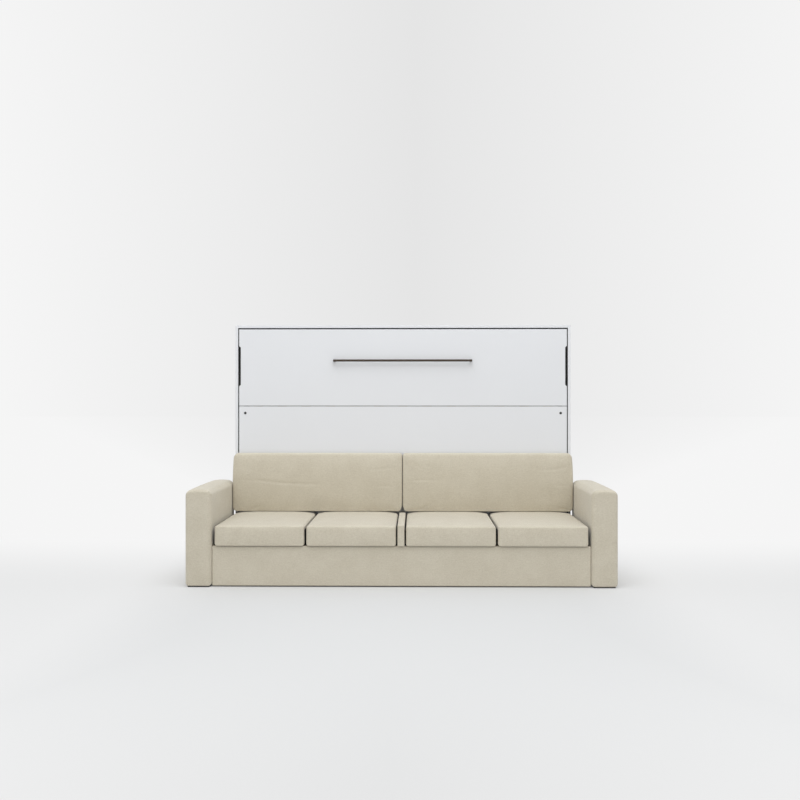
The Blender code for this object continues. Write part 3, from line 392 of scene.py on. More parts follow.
def wood(name, light, dark, roughness, along, pitch):
    """Sawn wood with its grain along one axis: wavering rings, fine pores and broad patches."""
    finish = Finish(name, Specular_IOR_Level=0.35)
    stretch = [1.0, 1.0, 1.0]
    stretch[along] = 0.07
    waver = finish.noise(finish.scaled(*[part * 9 for part in stretch]), 1.0, 3)
    bent = finish.add("ShaderNodeVectorMath", {0: finish.scaled(*stretch)}, operation="ADD")
    push = finish.add("ShaderNodeCombineXYZ")
    for axis in range(3):
        finish.put(push, axis, finish.math("MULTIPLY", waver, 0.06))
    finish.put(bent, 1, push.outputs["Vector"])
    rings = finish.add("ShaderNodeTexWave", {"Vector": bent.outputs["Vector"], "Scale": 1 / pitch / 6.28,
                                             "Distortion": 1.2, "Detail": 2.0}, wave_type="RINGS",
                       rings_direction="XYZ"[along])
    pores = finish.noise(finish.scaled(*[part * 700 for part in stretch]), 1.0, 3)
    shade = finish.tint(finish.level(rings.outputs["Fac"], 0.15, 0.95), light, dark)
    shade = finish.tint(finish.level(pores, 0.56, 0.72, 0.0, 0.4), shade, [part * 0.55 for part in dark])
    rough = finish.level(pores, *NOISE_RANGE, roughness - 0.08, roughness + 0.08)
    return finish.done(shade, rough, finish.bump(pores, 0.0002, 0.4))


def ticking():
    """Pale knitted mattress cover with fine loops."""
    finish = Finish("mattress_fabric", Roughness=0.85, Sheen_Weight=0.25, Sheen_Roughness=0.5)
    knit = finish.threads(0.0032)
    patch = finish.noise(finish.scaled(12, 12, 12), 1.0, 3)
    shade = finish.tint(finish.level(patch, *NOISE_RANGE), (0.74, 0.735, 0.71), (0.83, 0.82, 0.80))
    # Darker in the low places of the knit: painted shade between the loops
    shade = finish.tint(finish.level(knit, 0.0, 0.5, 0.2, 0.0), shade, (0.52, 0.51, 0.49))
    return finish.done(shade, None, finish.bump(knit, 0.0006, 0.5))


def webbing():
    """Black ribbed belt webbing."""
    finish = Finish("black_webbing", Roughness=0.8, Sheen_Weight=0.2, Sheen_Roughness=0.4)
    parts = finish.add("ShaderNodeSeparateXYZ", {0: finish.scaled(1, 1, 1)})
    ribs = finish.math("SINE", finish.math("MULTIPLY", parts.outputs["X"], 2 * math.pi / 0.0028))
    steps = finish.math("ADD", parts.outputs["Z"], parts.outputs["Y"])
    steps = finish.math("SINE", finish.math("MULTIPLY", steps, 2 * math.pi / 0.0016))
    height = finish.level(finish.math("ADD", ribs, finish.math("MULTIPLY", steps, 0.5)), -1.5, 1.5)
    # Darker in the grooves between the ribs and lighter on their tops: painted shade
    shade = finish.tint(height, (0.012, 0.012, 0.013), (0.055, 0.055, 0.058))
    return finish.done(shade, None, finish.bump(height, 0.0006, 0.7))


def hardboard():
    """The thin back panel: white inside face, with the faint mesh print that hardboard has."""
    finish = Finish("white_hardboard", Specular_IOR_Level=0.4)
    mesh_print = finish.threads(0.0025)
    cloud = finish.noise(finish.scaled(3, 3, 3), 1.0, 3)
    shade = finish.tint(finish.level(cloud, *NOISE_RANGE), (0.74, 0.74, 0.74), (0.80, 0.80, 0.80))
    rough = finish.level(cloud, *NOISE_RANGE, 0.5, 0.62)
    return finish.done(shade, rough, finish.bump(mesh_print, 0.0002, 0.35))


def cambric():
    """Thin black non-woven cloth with its small pressed dimples."""
    finish = Finish("black_cambric", Roughness=0.9, Specular_IOR_Level=0.2)
    dimples = finish.threads(0.0024)
    # Darker in the low places of the dimples: painted shade
    shade = finish.tint(dimples, (0.008, 0.008, 0.009), (0.022, 0.022, 0.024))
    return finish.done(shade, None, finish.bump(dimples, 0.0003, 0.4))


LINEN = linen()
WHITE = lacquer("white_lacquer", (0.750, 0.757, 0.777), 0.3)
BOARD = lacquer("white_board", (0.78, 0.78, 0.785), 0.45)
HARDBOARD = hardboard()
BRONZE = metal("dark_bronze", (0.075, 0.058, 0.047), 0.42, (40, 900, 900), 0.85)
STEEL = metal("zinc_steel", (0.56, 0.57, 0.59), 0.34, (160, 160, 160))
PAINT = paint("frame_paint", (0.20, 0.21, 0.22), 0.5, 0.3)
PLASTIC = paint("black_plastic", (0.02, 0.02, 0.02), 0.48)
RUBBER = paint("rubber", (0.03, 0.03, 0.03), 0.8)
# Black for the strips in the door gaps: painted shade
GAP_SHADE_BLACK = paint("black_gap_shade", (0.012, 0.012, 0.012), 0.85)
CAMBRIC = cambric()
PINE_X = wood("pine_along", *PINE_COLOURS, 0.6, 0, PINE_PITCH)
PINE_Z = wood("pine_upright", *PINE_COLOURS, 0.6, 2, PINE_PITCH)
BEECH = wood("beech", *BEECH_COLOURS, 0.5, 2, BEECH_PITCH)
TICKING = ticking()
PIPING = paint("piping", (0.60, 0.59, 0.57), 0.7)
WEBBING = webbing()


def ticks(half, radius, border):
    """Places along one edge of a box: closer together in the border, and even steps round its rounding."""
    flat = half - radius
    border = min(border, BORDER_LIMIT * flat)
    inner = flat - border
    cells = max(1, round(2 * inner / SPACING))
    steps = max(1, round(border / EDGE_SPACING))
    turn = math.pi / 4 / ROUND_STEPS
    rounding = flat + radius * np.tan(turn * np.arange(1, ROUND_STEPS + 1))
    edge = np.concatenate((inner + border * np.arange(1, steps + 1) / steps, rounding))
    return np.concatenate((-edge[::-1], np.linspace(-inner, inner, cells + 1), edge))


class Form:
    """The skin of a soft piece: a lattice over a rounded box, which later steps shape.

    points are places in metres, ends says for each point and axis whether it lies on the lattice's low
    end (-1), high end (1) or neither (0), and share is its place from -1 to 1 across the piece. crowns are
    the rises of the faces in the order -X, +X, -Y, +Y, -Z, +Z: the box starts that much smaller, and
    crown() gives it back.
    """

    def __init__(self, low, high, radius, crowns=(0, 0, 0, 0, 0, 0), border=0.0):
        self.rises = np.array(crowns[0::2]), np.array(crowns[1::2])
        inner_low, inner_high = np.array(low) + self.rises[0], np.array(high) - self.rises[1]
        half = (inner_high - inner_low) / 2
        places = [ticks(half[i], radius, border) for i in range(3)]
        last = [len(row) - 1 for row in places]
        index, self.faces = {}, []

        def corner(key):
            return index.setdefault(key, len(index))

        for axis in range(3):
            a, b = [other for other in range(3) if other != axis]
            for end in (0, last[axis]):
                for i in range(last[a]):
                    for j in range(last[b]):
                        ring = []
                        for di, dj in ((0, 0), (1, 0), (1, 1), (0, 1)):
                            key = [end, end, end]
                            key[a], key[b] = i + di, j + dj
                            ring.append(corner(tuple(key)))
                        outward = (end > 0) == (axis != 1)
                        self.faces.append(ring if outward else ring[::-1])
        keys = np.array(list(index))
        cube = np.stack([places[i][keys[:, i]] for i in range(3)], axis=1)
        self.ends = np.where(keys == 0, -1, 0) + np.where(keys == last, 1, 0)
        core = np.clip(cube, -(half - radius), half - radius)
        away = cube - core
        self.normals = away / np.maximum(np.linalg.norm(away, axis=1, keepdims=True), TINY)
        points = core + self.normals * radius
        self.share = points / half
        self.points = points + (inner_low + inner_high) / 2

    def crown(self, power=(4, 4, 4), keep=(0, 0, 0, 0, 0, 0), pull=(0, 0, 0)):
        """Raises the faces.

        power says for each axis how late a crown falls off towards its ends, keep what share of it is left
        at the ends -X, +X, -Y, +Y, -Z, +Z, and pull draws the sides in midway.
        """
        keep_low, keep_high = np.array(keep[0::2]), np.array(keep[1::2])
        for i in range(3):
            dome = np.ones(len(self.points))
            for axis in (other for other in range(3) if other != i):
                kept = np.where(self.share[:, axis] > 0, keep_high[axis], keep_low[axis])
                dome *= 1 - (1 - kept) * np.abs(self.share[:, axis]) ** power[axis]
            rise = np.where(self.share[:, i] > 0, self.rises[1][i], self.rises[0][i])
            along = 1 if i == 0 else 0
            draw = pull[i] * (1 - self.share[:, along] ** 2)
            self.points[:, i] += (rise * dome - draw) * self.share[:, i]
        return self

    def push(self, amount):
        self.points += self.normals * amount[:, None]
        return self

    def seam(self, axis, depth=SEAM_DEPTH, which=(-1, 1)):
        """A sewn groove round the panels that face along one axis."""
        others = [other for other in range(3) if other != axis]
        on_panel = np.isin(self.ends[:, axis], which) & (self.ends[:, axis] != 0)
        return self.push(np.where(on_panel & np.any(self.ends[:, others] != 0, axis=1), -depth, 0))

    def round_corners(self, a, b, radii):
        """Rounds the outline seen along the third axis.

        radii are for the corners (-,-), (+,-), (-,+), (+,+): one length, or a pair for an oval corner.
        """
        signs = ((-1, -1), (1, -1), (-1, 1), (1, 1))
        flat = self.points[:, (a, b)]
        low, high = flat.min(0), flat.max(0)
        for (side_a, side_b), radius in zip(signs, radii):
            if np.any(radius):
                radius = np.array(radius)
                edge = np.array([high[0] if side_a > 0 else low[0], high[1] if side_b > 0 else low[1]])
                sides = np.array([side_a, side_b])
                out = (flat - (edge - sides * radius)) * sides / radius
                inside = np.all(out > 0, axis=1)
                u, v = out[inside, 0], out[inside, 1]
                disc = np.stack((u * np.sqrt(1 - v ** 2 / 2), v * np.sqrt(1 - u ** 2 / 2)), axis=1)
                flat[inside] += (disc - out[inside]) * sides * radius
        self.points[:, (a, b)] = flat
        return self

    def mesh(self, name, finish, lining_and_shade=None, black_points=None):
        """The skin as an object; faces whose points are all marked take the second, black finish: a lining
        where nobody sees it, and painted shade on seat cushion sides that show in the gaps.
        """
        mesh = bpy.data.meshes.new(name)
        mesh.from_pydata(self.points.tolist(), [], self.faces)
        mesh.shade_smooth()
        mesh.materials.append(finish)
        if lining_and_shade:
            mesh.materials.append(lining_and_shade)
            unseen = np.all(black_points[np.array(self.faces)], axis=1)
            mesh.polygons.foreach_set("material_index", unseen.astype(int))
        piece = bpy.data.objects.new(name, mesh)
        bpy.context.scene.collection.objects.link(piece)
        return piece


def places_of(piece):
    places = np.empty(3 * len(piece.data.vertices))
    piece.data.vertices.foreach_get("co", places)
    return places.reshape(-1, 3)


def put_places(piece, places):
    piece.data.vertices.foreach_set("co", places.ravel())
    piece.data.update()


def evaluated(piece):
    """The piece's mesh as its modifiers leave it, which then have to go."""
    graph = bpy.context.evaluated_depsgraph_get()
    finer = bpy.data.meshes.new_from_object(piece.evaluated_get(graph))
    piece.modifiers.clear()
    piece.data = finer
    finer.shade_smooth()
    return piece


def refine(piece):
    """One step of subdivision, applied, so that the mesh itself has it too."""
    smooth = piece.modifiers.new("smooth", "SUBSURF")
    smooth.levels = smooth.render_levels = 1
    bpy.context.view_layer.update()
    return evaluated(piece)


def inflate(piece, cap, freedom, rest_axis, rest_end, pressure=CLOTH_PRESSURE):
    """Blows the cover up with Blender's cloth.

    Each point keeps within cap of its start, by the share that freedom gives to each axis, and the face
    that the cushion rests on, at one end of rest_axis, stays where it is. The result is then fitted back
    between the corners that the cover had.
    """
    before = places_of(piece)
    scene = bpy.context.scene
    cloth = piece.modifiers.new("cloth", "CLOTH")
    cloth.settings.use_pressure = True
    cloth.settings.uniform_pressure_force = pressure
    cloth.settings.effector_weights.gravity = 0
    cloth.settings.quality = CLOTH_QUALITY
    cloth.point_cache.frame_start, cloth.point_cache.frame_end = 1, CLOTH_FRAMES
    for number in range(1, CLOTH_FRAMES + 1):
        scene.frame_set(number)
    evaluated(piece)
    scene.frame_set(1)
    moved = places_of(piece) - before
    length = np.linalg.norm(moved, axis=1, keepdims=True)
    low, high = before.min(0), before.max(0)
    height = (before[:, rest_axis] - low[rest_axis]) / (high[rest_axis] - low[rest_axis])
    loose = np.clip(height if rest_end < 0 else 1 - height, 0, 1)[:, None] ** 0.5
    after = before + moved * np.minimum(1, cap / np.maximum(length, TINY)) * np.array(freedom) * loose
    new_low, new_high = after.min(0), after.max(0)
    put_places(piece, low + (after - new_low) / (new_high - new_low) * (high - low))
    return piece


def crease(piece, path, depth, width):
    """A fold along a line of (x, z) places on the front of a cushion, with a swelling below it."""
    places = places_of(piece)
    normals = np.empty(3 * len(places))
    piece.data.vertices.foreach_get("normal", normals)
    normals = normals.reshape(-1, 3)
    flat = places[:, (0, 2)]
    path = np.array(path)
    lengths = np.linalg.norm(np.diff(path, axis=0), axis=1)
    nearest, above, run = np.full(len(flat), 1e9), np.zeros(len(flat)), np.zeros(len(flat))
    before = 0.0
    for start, end, length in zip(path, path[1:], lengths):
        along = np.clip((flat - start) @ (end - start) / length ** 2, 0, 1)
        away = flat - (start + along[:, None] * (end - start))
        distance = np.linalg.norm(away, axis=1)
        closer = distance < nearest
        nearest = np.where(closer, distance, nearest)
        above = np.where(closer, away[:, 1], above)
        run = np.where(closer, (before + along * length) / lengths.sum(), run)
        before += length
    taper = np.sin(np.pi * np.clip(run, 0.02, 0.98)) ** FOLD_TAPER_POWER
    valley = np.exp(-(nearest / width) ** 2)
    swelling = np.exp(-((above + FOLD_SWELLING_DROP * width) / (FOLD_SWELLING_WIDTH * width)) ** 2)
    swelling *= np.exp(-(nearest / (FOLD_SWELLING_REACH * width)) ** 2)
    amount = taper * (FOLD_SWELLING * swelling - valley) * depth * np.clip(-normals[:, 1], 0, 1)
    put_places(piece, places + normals * amount[:, None])


def dress(piece, body, node):
    """Puts a finished piece on its body, in place of its node."""
    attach(piece, body)
    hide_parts(node)
    return piece


def corner_places(node):
    low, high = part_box(node)
    return np.array(low), np.array(high)


def arms():
    for side, label in SIDES:
        node = f"arm_{label}"
        low, high = corner_places(node)
        form = Form(low, high, ARM_EDGE, ARM_CROWNS, border=ARM_TOP_CORNER).seam(1)
        front = (ARM_OUTER_CORNER, ARM_INNER_CORNER)[::-side]
        form.round_corners(0, 1, (*front, ARM_EDGE, ARM_EDGE))
        form.round_corners(1, 2, (0, 0, ARM_FRONT_TOP, ARM_FRONT_TOP))
        form.round_corners(0, 2, (ARM_FOOT_CORNER, ARM_FOOT_CORNER, ARM_TOP_CORNER, ARM_TOP_CORNER))
        form.crown(ARM_CROWN_POWERS, ARM_CROWN_KEPT)
        dress(refine(form.mesh(f"arm_cover_{label}", LINEN)), "root", node)


def underside_and_gap_shade(form):
    """The faces of a seat cushion that take black cloth: the underside, which nobody sees, and the sides
    behind the front edge, where the black is painted shade for the gaps between cushions.
    """
    below = form.normals[:, 2] < -FLAT_FACING
    beside = np.abs(form.normals[:, 0]) > SIDE_FACING
    beside &= (form.share[:, 1] > GAP_SHADE_FRONT) & (form.share[:, 2] < GAP_SHADE_TOP)
    return below | beside


def seat():
    low, high = corner_places("seat_front_rail")
    form = Form(low, high, BASE_RADIUS, border=BASE_RADIUS)
    dress(refine(form.mesh("front_rail_cover", LINEN)), "root", "seat_front_rail")
    for number in range(1, 5):
        node = f"seat_cushion_{number}"
        low, high = corner_places(node)
        reach = np.array((SEAT_REACH, 0, 0))
        form = Form(low - reach, high + reach, SEAT_EDGE, SEAT_CROWNS, border=SEAT_CORNER).seam(2)
        form.round_corners(0, 2, (SEAT_CORNER, SEAT_CORNER, SEAT_TOP_CORNER, SEAT_TOP_CORNER))
        form.round_corners(0, 1, (SEAT_TOP_CORNER,) * 4)
        form.crown(SEAT_CROWN_POWERS, SEAT_CROWN_KEPT, (SEAT_PULL, 0, 0))
        # The black on the cushion's sides is painted shade for the gaps between the cushions
        cover = form.mesh(f"seat_cover_{number}", LINEN, CAMBRIC, underside_and_gap_shade(form))
        piece = inflate(cover, SEAT_SWELL, SEAT_FREEDOM, 2, -1)
        dress(refine(piece), "root", node)
    low, high = corner_places("filler_cushion")
    reach = np.array((FILLER_REACH, 0, 0))
    form = Form(low - reach, high + reach, FILLER_RADIUS, border=FILLER_RADIUS).seam(2, FILLER_SEAM)
    # The black on the filler's sides is painted shade for the gaps beside it
    dress(refine(form.mesh("filler_cover", LINEN, CAMBRIC, underside_and_gap_shade(form))), "root", "filler_cushion")


def back_cushions():
    for side, label in SIDES:
        node = f"back_cushion_{label}"
        low, high = corner_places(node)
        (low if side > 0 else high)[0] -= side * BACK_REACH
        form = Form(low, high, BACK_EDGE, BACK_CROWNS, border=BACK_FOOT).seam(1, BACK_SEAM)
        edges = (BACK_SIDE_EDGE, BACK_MIDDLE_EDGE)[::-side]
        foot = (BACK_FOOT, BACK_MIDDLE_FOOT)[::-side]
        top = (BACK_TOP_OUTER, BACK_TOP_INNER)[::-side]
        form.round_corners(1, 2, (0, 0, BACK_TOP_EDGE, BACK_TOP_EDGE))
        form.round_corners(0, 1, (*edges, *edges))
        form.round_corners(0, 2, (*foot, *top))
        form.crown(BACK_CROWN_POWERS, (BACK_SIDE_KEEP, BACK_SIDE_KEEP, 0, 0, BACK_FOOT_KEEP, 0))
        outward = np.clip(side * form.share[:, 0], 0, 1)
        lean = BACK_LEAN * outward ** BACK_LEAN_POWER * np.clip(form.share[:, 2], 0, 1) ** 2
        form.points[:, 0] -= side * lean
        cover = form.mesh(f"back_cover_{label}", LINEN, CAMBRIC, form.normals[:, 2] < -FLAT_FACING)
        piece = refine(inflate(cover, BACK_SWELL, BACK_FREEDOM, 1, 1))
        for path, depth, width in CREASES[label]:
            crease(piece, path, depth, width)
        dress(piece, node, node)


def from_shape(name, shape, finish):
    """A bmesh as an object with one finish."""
    mesh = bpy.data.meshes.new(name)
    shape.to_mesh(mesh)
    shape.free()
    mesh.materials.append(finish)
    piece = bpy.data.objects.new(name, mesh)
    bpy.context.scene.collection.objects.link(piece)
    return piece


def deck_cloth():
    """Black cloth stretched over the deck, which shows in the gaps between the seat cushions."""
    low, high = corner_places("seat_deck")
    cloth = plate("deck_cloth", (low[0], low[1], high[2] + SHEET_GAP),
                  (high[0], high[1], high[2] + 2 * SHEET_GAP), CAMBRIC)


def plate(name, low, high, finish, body="root", bevel=0.0):
    """A thin plate or strip between two corners, with its edges taken off if asked."""
    shape = bmesh.new()
    size = Vector(high) - Vector(low)
    middle = (Vector(high) + Vector(low)) / 2
    bmesh.ops.create_cube(shape, size=1, matrix=Matrix.LocRotScale(middle, None, size))
    if bevel:
        bmesh.ops.bevel(shape, geom=shape.edges[:], offset=bevel, segments=2, affect="EDGES")
    piece = from_shape(name, shape, finish)
    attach(piece, body)
    return piece


def foot_bands_and_shade_line():
    """Black plastic edging round the foot of each arm's frame, which hides the frame and also stands in for
    the dark contact shadow under the arm: partly painted shade.
    """
    for side, label in SIDES:
        low, high = corner_places(f"arm_frame_{label}")
        top = FOOT_BAND_HEIGHT
        skin = FOOT_BAND_THICKNESS
        for name, corner, far in (
                ("front", (low[0] - skin, low[1] - skin, 0), (high[0] + skin, low[1] - SHEET_GAP, top)),
                ("rear", (low[0] - skin, high[1] + SHEET_GAP, 0), (high[0] + skin, high[1] + skin, top)),
                ("left", (low[0] - skin, low[1], 0), (low[0] - SHEET_GAP, high[1], top)),
                ("right", (high[0] + SHEET_GAP, low[1], 0), (high[0] + skin, high[1], top))):
            corner, far = (np.array(place) + (0, 0, SHEET_GAP) for place in (corner, far))
            plate(f"arm_{label}_foot_band_{name}", corner, far, PLASTIC, bevel=0.0002)


def door_gap_shade_strips():
    """Black strips on the inner faces of the cabinet, just behind the front edge of the doors, and thin
    black lips on its front edges: painted shade that darkens the gaps round the doors.
    """
    side_low, side_high = corner_places("cabinet_side_right")
    top_low, top_high = corner_places("cabinet_top")
    door_low, door_high = corner_places("upper_door_panel")
    reach = side_low[0] - door_high[0] - GAP_SHADE_CLEARANCE
    rise = top_low[2] - door_high[2] - GAP_SHADE_CLEARANCE
    front = side_low[1] + GAP_SHADE_SETBACK
    back = door_high[1]
    bottom = corner_places("lower_door_panel")[0][2]
    for side, label in SIDES:
        for name, near, far, y_low, y_high in (
                ("gap_shade", side_low[0] - reach, side_low[0] - SHEET_GAP, front, back),
                ("gap_shade_lip", side_low[0] - SHEET_GAP, side_low[0] + GAP_SHADE_LIP, side_low[1] - GAP_SHADE_LIP_THICKNESS,
                 side_low[1] - SHEET_GAP)):
            ends = sorted((side * near, side * far))
            plate(f"door_{name}_{label}", (ends[0], y_low, bottom), (ends[1], y_high, top_low[2]), GAP_SHADE_BLACK)
    half = side_low[0] - reach - SHEET_GAP
    plate("door_gap_shade_top", (-half, front, top_low[2] - rise), (half, back, top_low[2] - SHEET_GAP), GAP_SHADE_BLACK)
    half = side_low[0] + GAP_SHADE_LIP
    plate("door_gap_shade_lip_top", (-half, top_low[1] - GAP_SHADE_LIP_THICKNESS, top_low[2]),
          (half, top_low[1] - SHEET_GAP, top_low[2] + GAP_SHADE_LIP), GAP_SHADE_BLACK)


def mattress():
    low, high = corner_places("mattress")
    rise = MATTRESS_CROWN
    form = Form(low, high, MATTRESS_RADIUS, (rise, rise, 0, rise, rise, rise))
    flat = np.prod(1 - np.abs(form.share[:, (0, 2)]) ** QUILT_FADE_POWER, axis=1)
    flat *= np.abs(form.normals[:, 1]) > SIDE_FACING
    x, z = form.points[:, 0], form.points[:, 2]
    turns = math.pi / QUILT_PITCH
    diamond = np.sqrt(np.abs(np.sin((x + z) * turns) * np.sin((x - z) * turns)))
    form.crown().push(-QUILT_DEPTH * flat * (1 - diamond)).seam(1)
    piece = refine(form.mesh("mattress_cover", TICKING))
    dress(piece, "bed", "mattress")
    middle = (low + high) / 2
    for end, name in ((-1, "front"), (1, "rear")):
        edge = form.points[(form.ends[:, 1] == end) & np.any(form.ends[:, (0, 2)] != 0, axis=1)]
        turn = np.arctan2(edge[:, 2] - middle[2], edge[:, 0] - middle[0])
        piping(f"mattress_piping_{name}", edge[np.argsort(turn)], "bed")


def piping(name, places, body):
    """A corded edge sewn along a ring of places."""
    line = bpy.data.curves.new(name, "CURVE")
    line.dimensions = "3D"
    spline = line.splines.new("POLY")
    spline.points.add(len(places) - 1)
    spline.points.foreach_set("co", np.column_stack((places, np.ones(len(places)))).ravel())
    spline.use_cyclic_u = True
    line.bevel_depth = PIPING_RADIUS
    line.bevel_resolution = 3
    line.materials.append(PIPING)
    piece = bpy.data.objects.new(name, line)
    bpy.context.scene.collection.objects.link(piece)
    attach(piece, body)


def back_screws():
    """Flat screw heads with a socket, round the edge of the back panel and down its middle."""
    low, high = corner_places("back_panel")
    across = np.linspace(low[0] + SCREW_INSET, high[0] - SCREW_INSET, SCREWS_ACROSS)
    up = np.linspace(low[2] + SCREW_INSET, high[2] - SCREW_INSET, SCREWS_UP)
    places = [(x, z) for x in across for z in (up[0], up[-1])]
    places += [(x, z) for x in (across[0], across[len(across) // 2], across[-1]) for z in up[1:-1]]
    shape = bmesh.new()
    for x, z in places:
        rings = []
        for share, height in SCREW_RINGS:
            radius, y = share * SCREW_RADIUS, high[1] + height * SCREW_HEIGHT
            rings.append([shape.verts.new((x + radius * math.cos(turn), y, z + radius * math.sin(turn)))
                          for turn in np.arange(SCREW_SIDES) * 2 * math.pi / SCREW_SIDES])
        for near, far in zip(rings, rings[1:]):
            for i in range(SCREW_SIDES):
                shape.faces.new((near[i], near[i - 1], far[i - 1], far[i]))
        shape.faces.new(rings[-1])
        shape.faces.new(rings[0][::-1])
    bmesh.ops.recalc_face_normals(shape, faces=shape.faces)
    piece = from_shape("back_panel_screws", shape, STEEL)
    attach(piece, "root")


def straps():
    """Webbing over the mattress, rounded where it turns over the edges."""
    for side, label in SIDES:
        node = f"mattress_strap_{label}"
        low, high = corner_places(node)
        radius = STRAP_TURN
        path = [(low[1], low[2]), (high[1] - radius, low[2])]
        for i in range(1, STRAP_STEPS):
            turn = math.pi / 2 * i / STRAP_STEPS
            path.append((high[1] - radius + radius * math.sin(turn),
                         low[2] + radius - radius * math.cos(turn)))
        middle = (low[2] + high[2]) / 2
        path.append((high[1], low[2] + radius))
        outer = path + [(y, 2 * middle - z) for y, z in reversed(path)]
        shape = bmesh.new()
        rings = []
        for i, (y, z) in enumerate(outer):
            before, after = outer[max(i - 1, 0)], outer[min(i + 1, len(outer) - 1)]
            run = Vector((after[0] - before[0], after[1] - before[1])).normalized()
            inward = Vector((-run.y, run.x)) * STRAP_THICKNESS
            ring = []
            for x, depth in ((low[0], 0), (high[0], 0), (high[0], 1), (low[0], 1)):
                ring.append(shape.verts.new((x, y + inward.x * depth, z + inward.y * depth)))
            rings.append(ring)
        for near, far in zip(rings, rings[1:]):
            for i in range(4):
                shape.faces.new((near[i], near[(i + 1) % 4], far[(i + 1) % 4], far[i]))
        shape.faces.new(rings[0])
        shape.faces.new(rings[-1][::-1])
        bmesh.ops.recalc_face_normals(shape, faces=shape.faces)
        dress(from_shape(f"strap_web_{label}", shape, WEBBING), "bed", node)


def carried_over():
    """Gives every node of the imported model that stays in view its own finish."""
    finishes = {
        WHITE: ("cabinet_side_left", "cabinet_side_right", "cabinet_top", "plinth_panel", "lower_door_panel",
                "upper_door_panel"),
        BOARD: ("cabinet_bottom", "upper_wall_rail"),
        HARDBOARD: ("back_panel",),
        BRONZE: ("handle_bar", "handle_post_left", "handle_post_right"),
        STEEL: ("pivot_plate_left", "pivot_plate_right", "spring_anchor_left", "spring_anchor_right",
                "bed_hinge_plate_left", "bed_hinge_plate_right", "flap_hinge_bed_leaf",
                "flap_hinge_panel_leaf", "gas_rod_left", "gas_rod_right"),
        PAINT: ("bed_rail_left", "bed_rail_right", "bed_rail_top", "bed_rail_bottom", "bed_centre_beam",
                "gas_cylinder_left", "gas_cylinder_right"),
        PLASTIC: ("side_grip_left", "side_grip_right", "door_bolt_left", "door_bolt_right",
                  "leg_edge_strip"),
        RUBBER: ("closing_stop_left", "closing_stop_right"),
        PINE_X: ("seat_side_rail_left", "seat_side_rail_right", "seat_beam_left", "seat_beam_centre",
                 "seat_beam_right", "seat_deck"),
        PINE_Z: ("door_batten_left", "door_batten_right", "arm_frame_left", "arm_frame_right"),
        BEECH: ("slatted_base",),
    }
    for finish, names in finishes.items():
        for name in names:
            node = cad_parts[name]
            node.data.materials.clear()
            node.data.materials.append(finish)


def backdrop(finish, direction):
    """The pale backdrop's colour along a direction: a little brighter to the left and right."""
    parts = finish.add("ShaderNodeSeparateXYZ", {0: direction})
    side = finish.level(finish.math("ABSOLUTE", parts.outputs["X"]), 0, BACKDROP_SPREAD)
    return finish.tint(side, BACKDROP_MIDDLE, BACKDROP_SIDES)


def seen_directly(finish):
    """1 for what the camera or a glossy reflection sees, 0 for the light that falls on things."""
    ray = finish.add("ShaderNodeLightPath")
    return finish.math("MAXIMUM", ray.outputs["Is Camera Ray"], ray.outputs["Is Glossy Ray"])


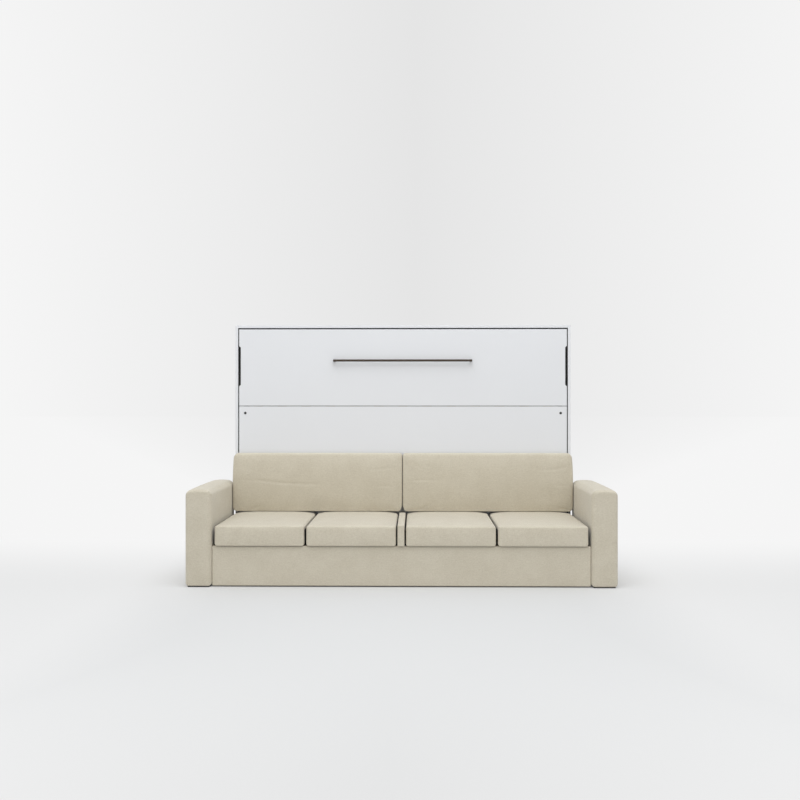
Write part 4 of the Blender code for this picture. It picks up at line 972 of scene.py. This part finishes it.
def stage():
    """A pale floor, level with the feet, and a sky that lights evenly and looks pale to the camera."""
    bpy.ops.mesh.primitive_grid_add(x_subdivisions=2, y_subdivisions=2, size=2 * FLOOR_HALF)
    floor = bpy.context.object
    floor.name = "floor"
    finish = Finish("pale_floor", Roughness=0.9, Specular_IOR_Level=0.1)
    cloud = finish.noise(finish.scaled(0.6, 0.6, 0.6), 1.0, 2)
    shade = finish.tint(finish.level(cloud, *NOISE_RANGE, 0.0, 0.3), FLOOR_COLOUR,
                        [part * 0.985 for part in FLOOR_COLOUR])
    finish.done(shade)
    place = finish.place.outputs["Object"]
    away = finish.add("ShaderNodeVectorMath", {0: place}, operation="LENGTH")
    outward = finish.add("ShaderNodeVectorMath", {0: place}, operation="NORMALIZE")
    parts = finish.add("ShaderNodeSeparateXYZ", {0: place})
    far = finish.eased(away.outputs["Value"], FLOOR_NEAR, FLOOR_FAR)
    behind = finish.math("MULTIPLY", finish.eased(parts.outputs["Y"], FLOOR_FRONT, FLOOR_BEHIND),
                         FLOOR_BEHIND_SHARE)
    across = finish.math("ABSOLUTE", parts.outputs["X"])
    beside = finish.math("MULTIPLY", finish.eased(across, *FLOOR_BESIDE), FLOOR_BESIDE_SHARE)
    around = finish.math("MAXIMUM", far, finish.math("ADD", behind, beside, True))
    seen = finish.math("MULTIPLY", seen_directly(finish), around)
    pale = finish.add("ShaderNodeEmission", {"Color": backdrop(finish, outward.outputs["Vector"])})
    mixed = finish.add("ShaderNodeMixShader", {0: seen, 1: finish.shader.outputs["BSDF"],
                                               2: pale.outputs["Emission"]})
    finish.put(finish.tree.nodes["Material Output"], "Surface", mixed.outputs["Shader"])
    floor.data.materials.append(finish.material)

    world = bpy.data.worlds.new("studio")
    world.use_nodes = True
    bpy.context.scene.world = world
    sky = Finish.of_world(world)
    even = world.node_tree.nodes["Background"]
    even.inputs["Color"].default_value = (*SKY_COLOUR, 1)
    even.inputs["Strength"].default_value = SKY_STRENGTH
    pale = sky.add("ShaderNodeBackground", {"Color": backdrop(sky, sky.place.outputs["Generated"])})
    mixed = sky.add("ShaderNodeMixShader", {0: seen_directly(sky), 1: even.outputs["Background"],
                                            2: pale.outputs["Background"]})
    sky.put(world.node_tree.nodes["World Output"], "Surface", mixed.outputs["Shader"])


def lamp(name, place, aim, watts, size, colour):
    light = bpy.data.lights.new(name, "AREA")
    light.color = colour
    light.shape = "SQUARE"
    light.size = size
    light.energy = watts
    holder = bpy.data.objects.new(name, light)
    holder.location = place
    holder.rotation_euler = (Vector(aim) - Vector(place)).to_track_quat("-Z", "Y").to_euler()
    bpy.context.scene.collection.objects.link(holder)


def camera():
    lens = bpy.data.cameras.new("camera")
    lens.lens = CAMERA_LENS
    lens.sensor_width = 36
    holder = bpy.data.objects.new("camera", lens)
    holder.location = CAMERA_PLACE
    holder.rotation_euler = (math.pi / 2 + CAMERA_PITCH, 0, CAMERA_YAW)
    bpy.context.scene.collection.objects.link(holder)
    bpy.context.scene.camera = holder


arms()
seat()
back_cushions()
mattress()
straps()
deck_cloth()
foot_bands_and_shade_line()
door_gap_shade_strips()
back_screws()
carried_over()
stage()
lamp("overhead", OVERHEAD_PLACE, OVERHEAD_AIM, OVERHEAD_WATTS, OVERHEAD_SIZE, OVERHEAD_COLOUR)
lamp("front_fill", FILL_PLACE, FILL_AIM, FILL_WATTS, FILL_SIZE, FILL_COLOUR)
camera()
bpy.context.scene.view_settings.view_transform = "Standard"
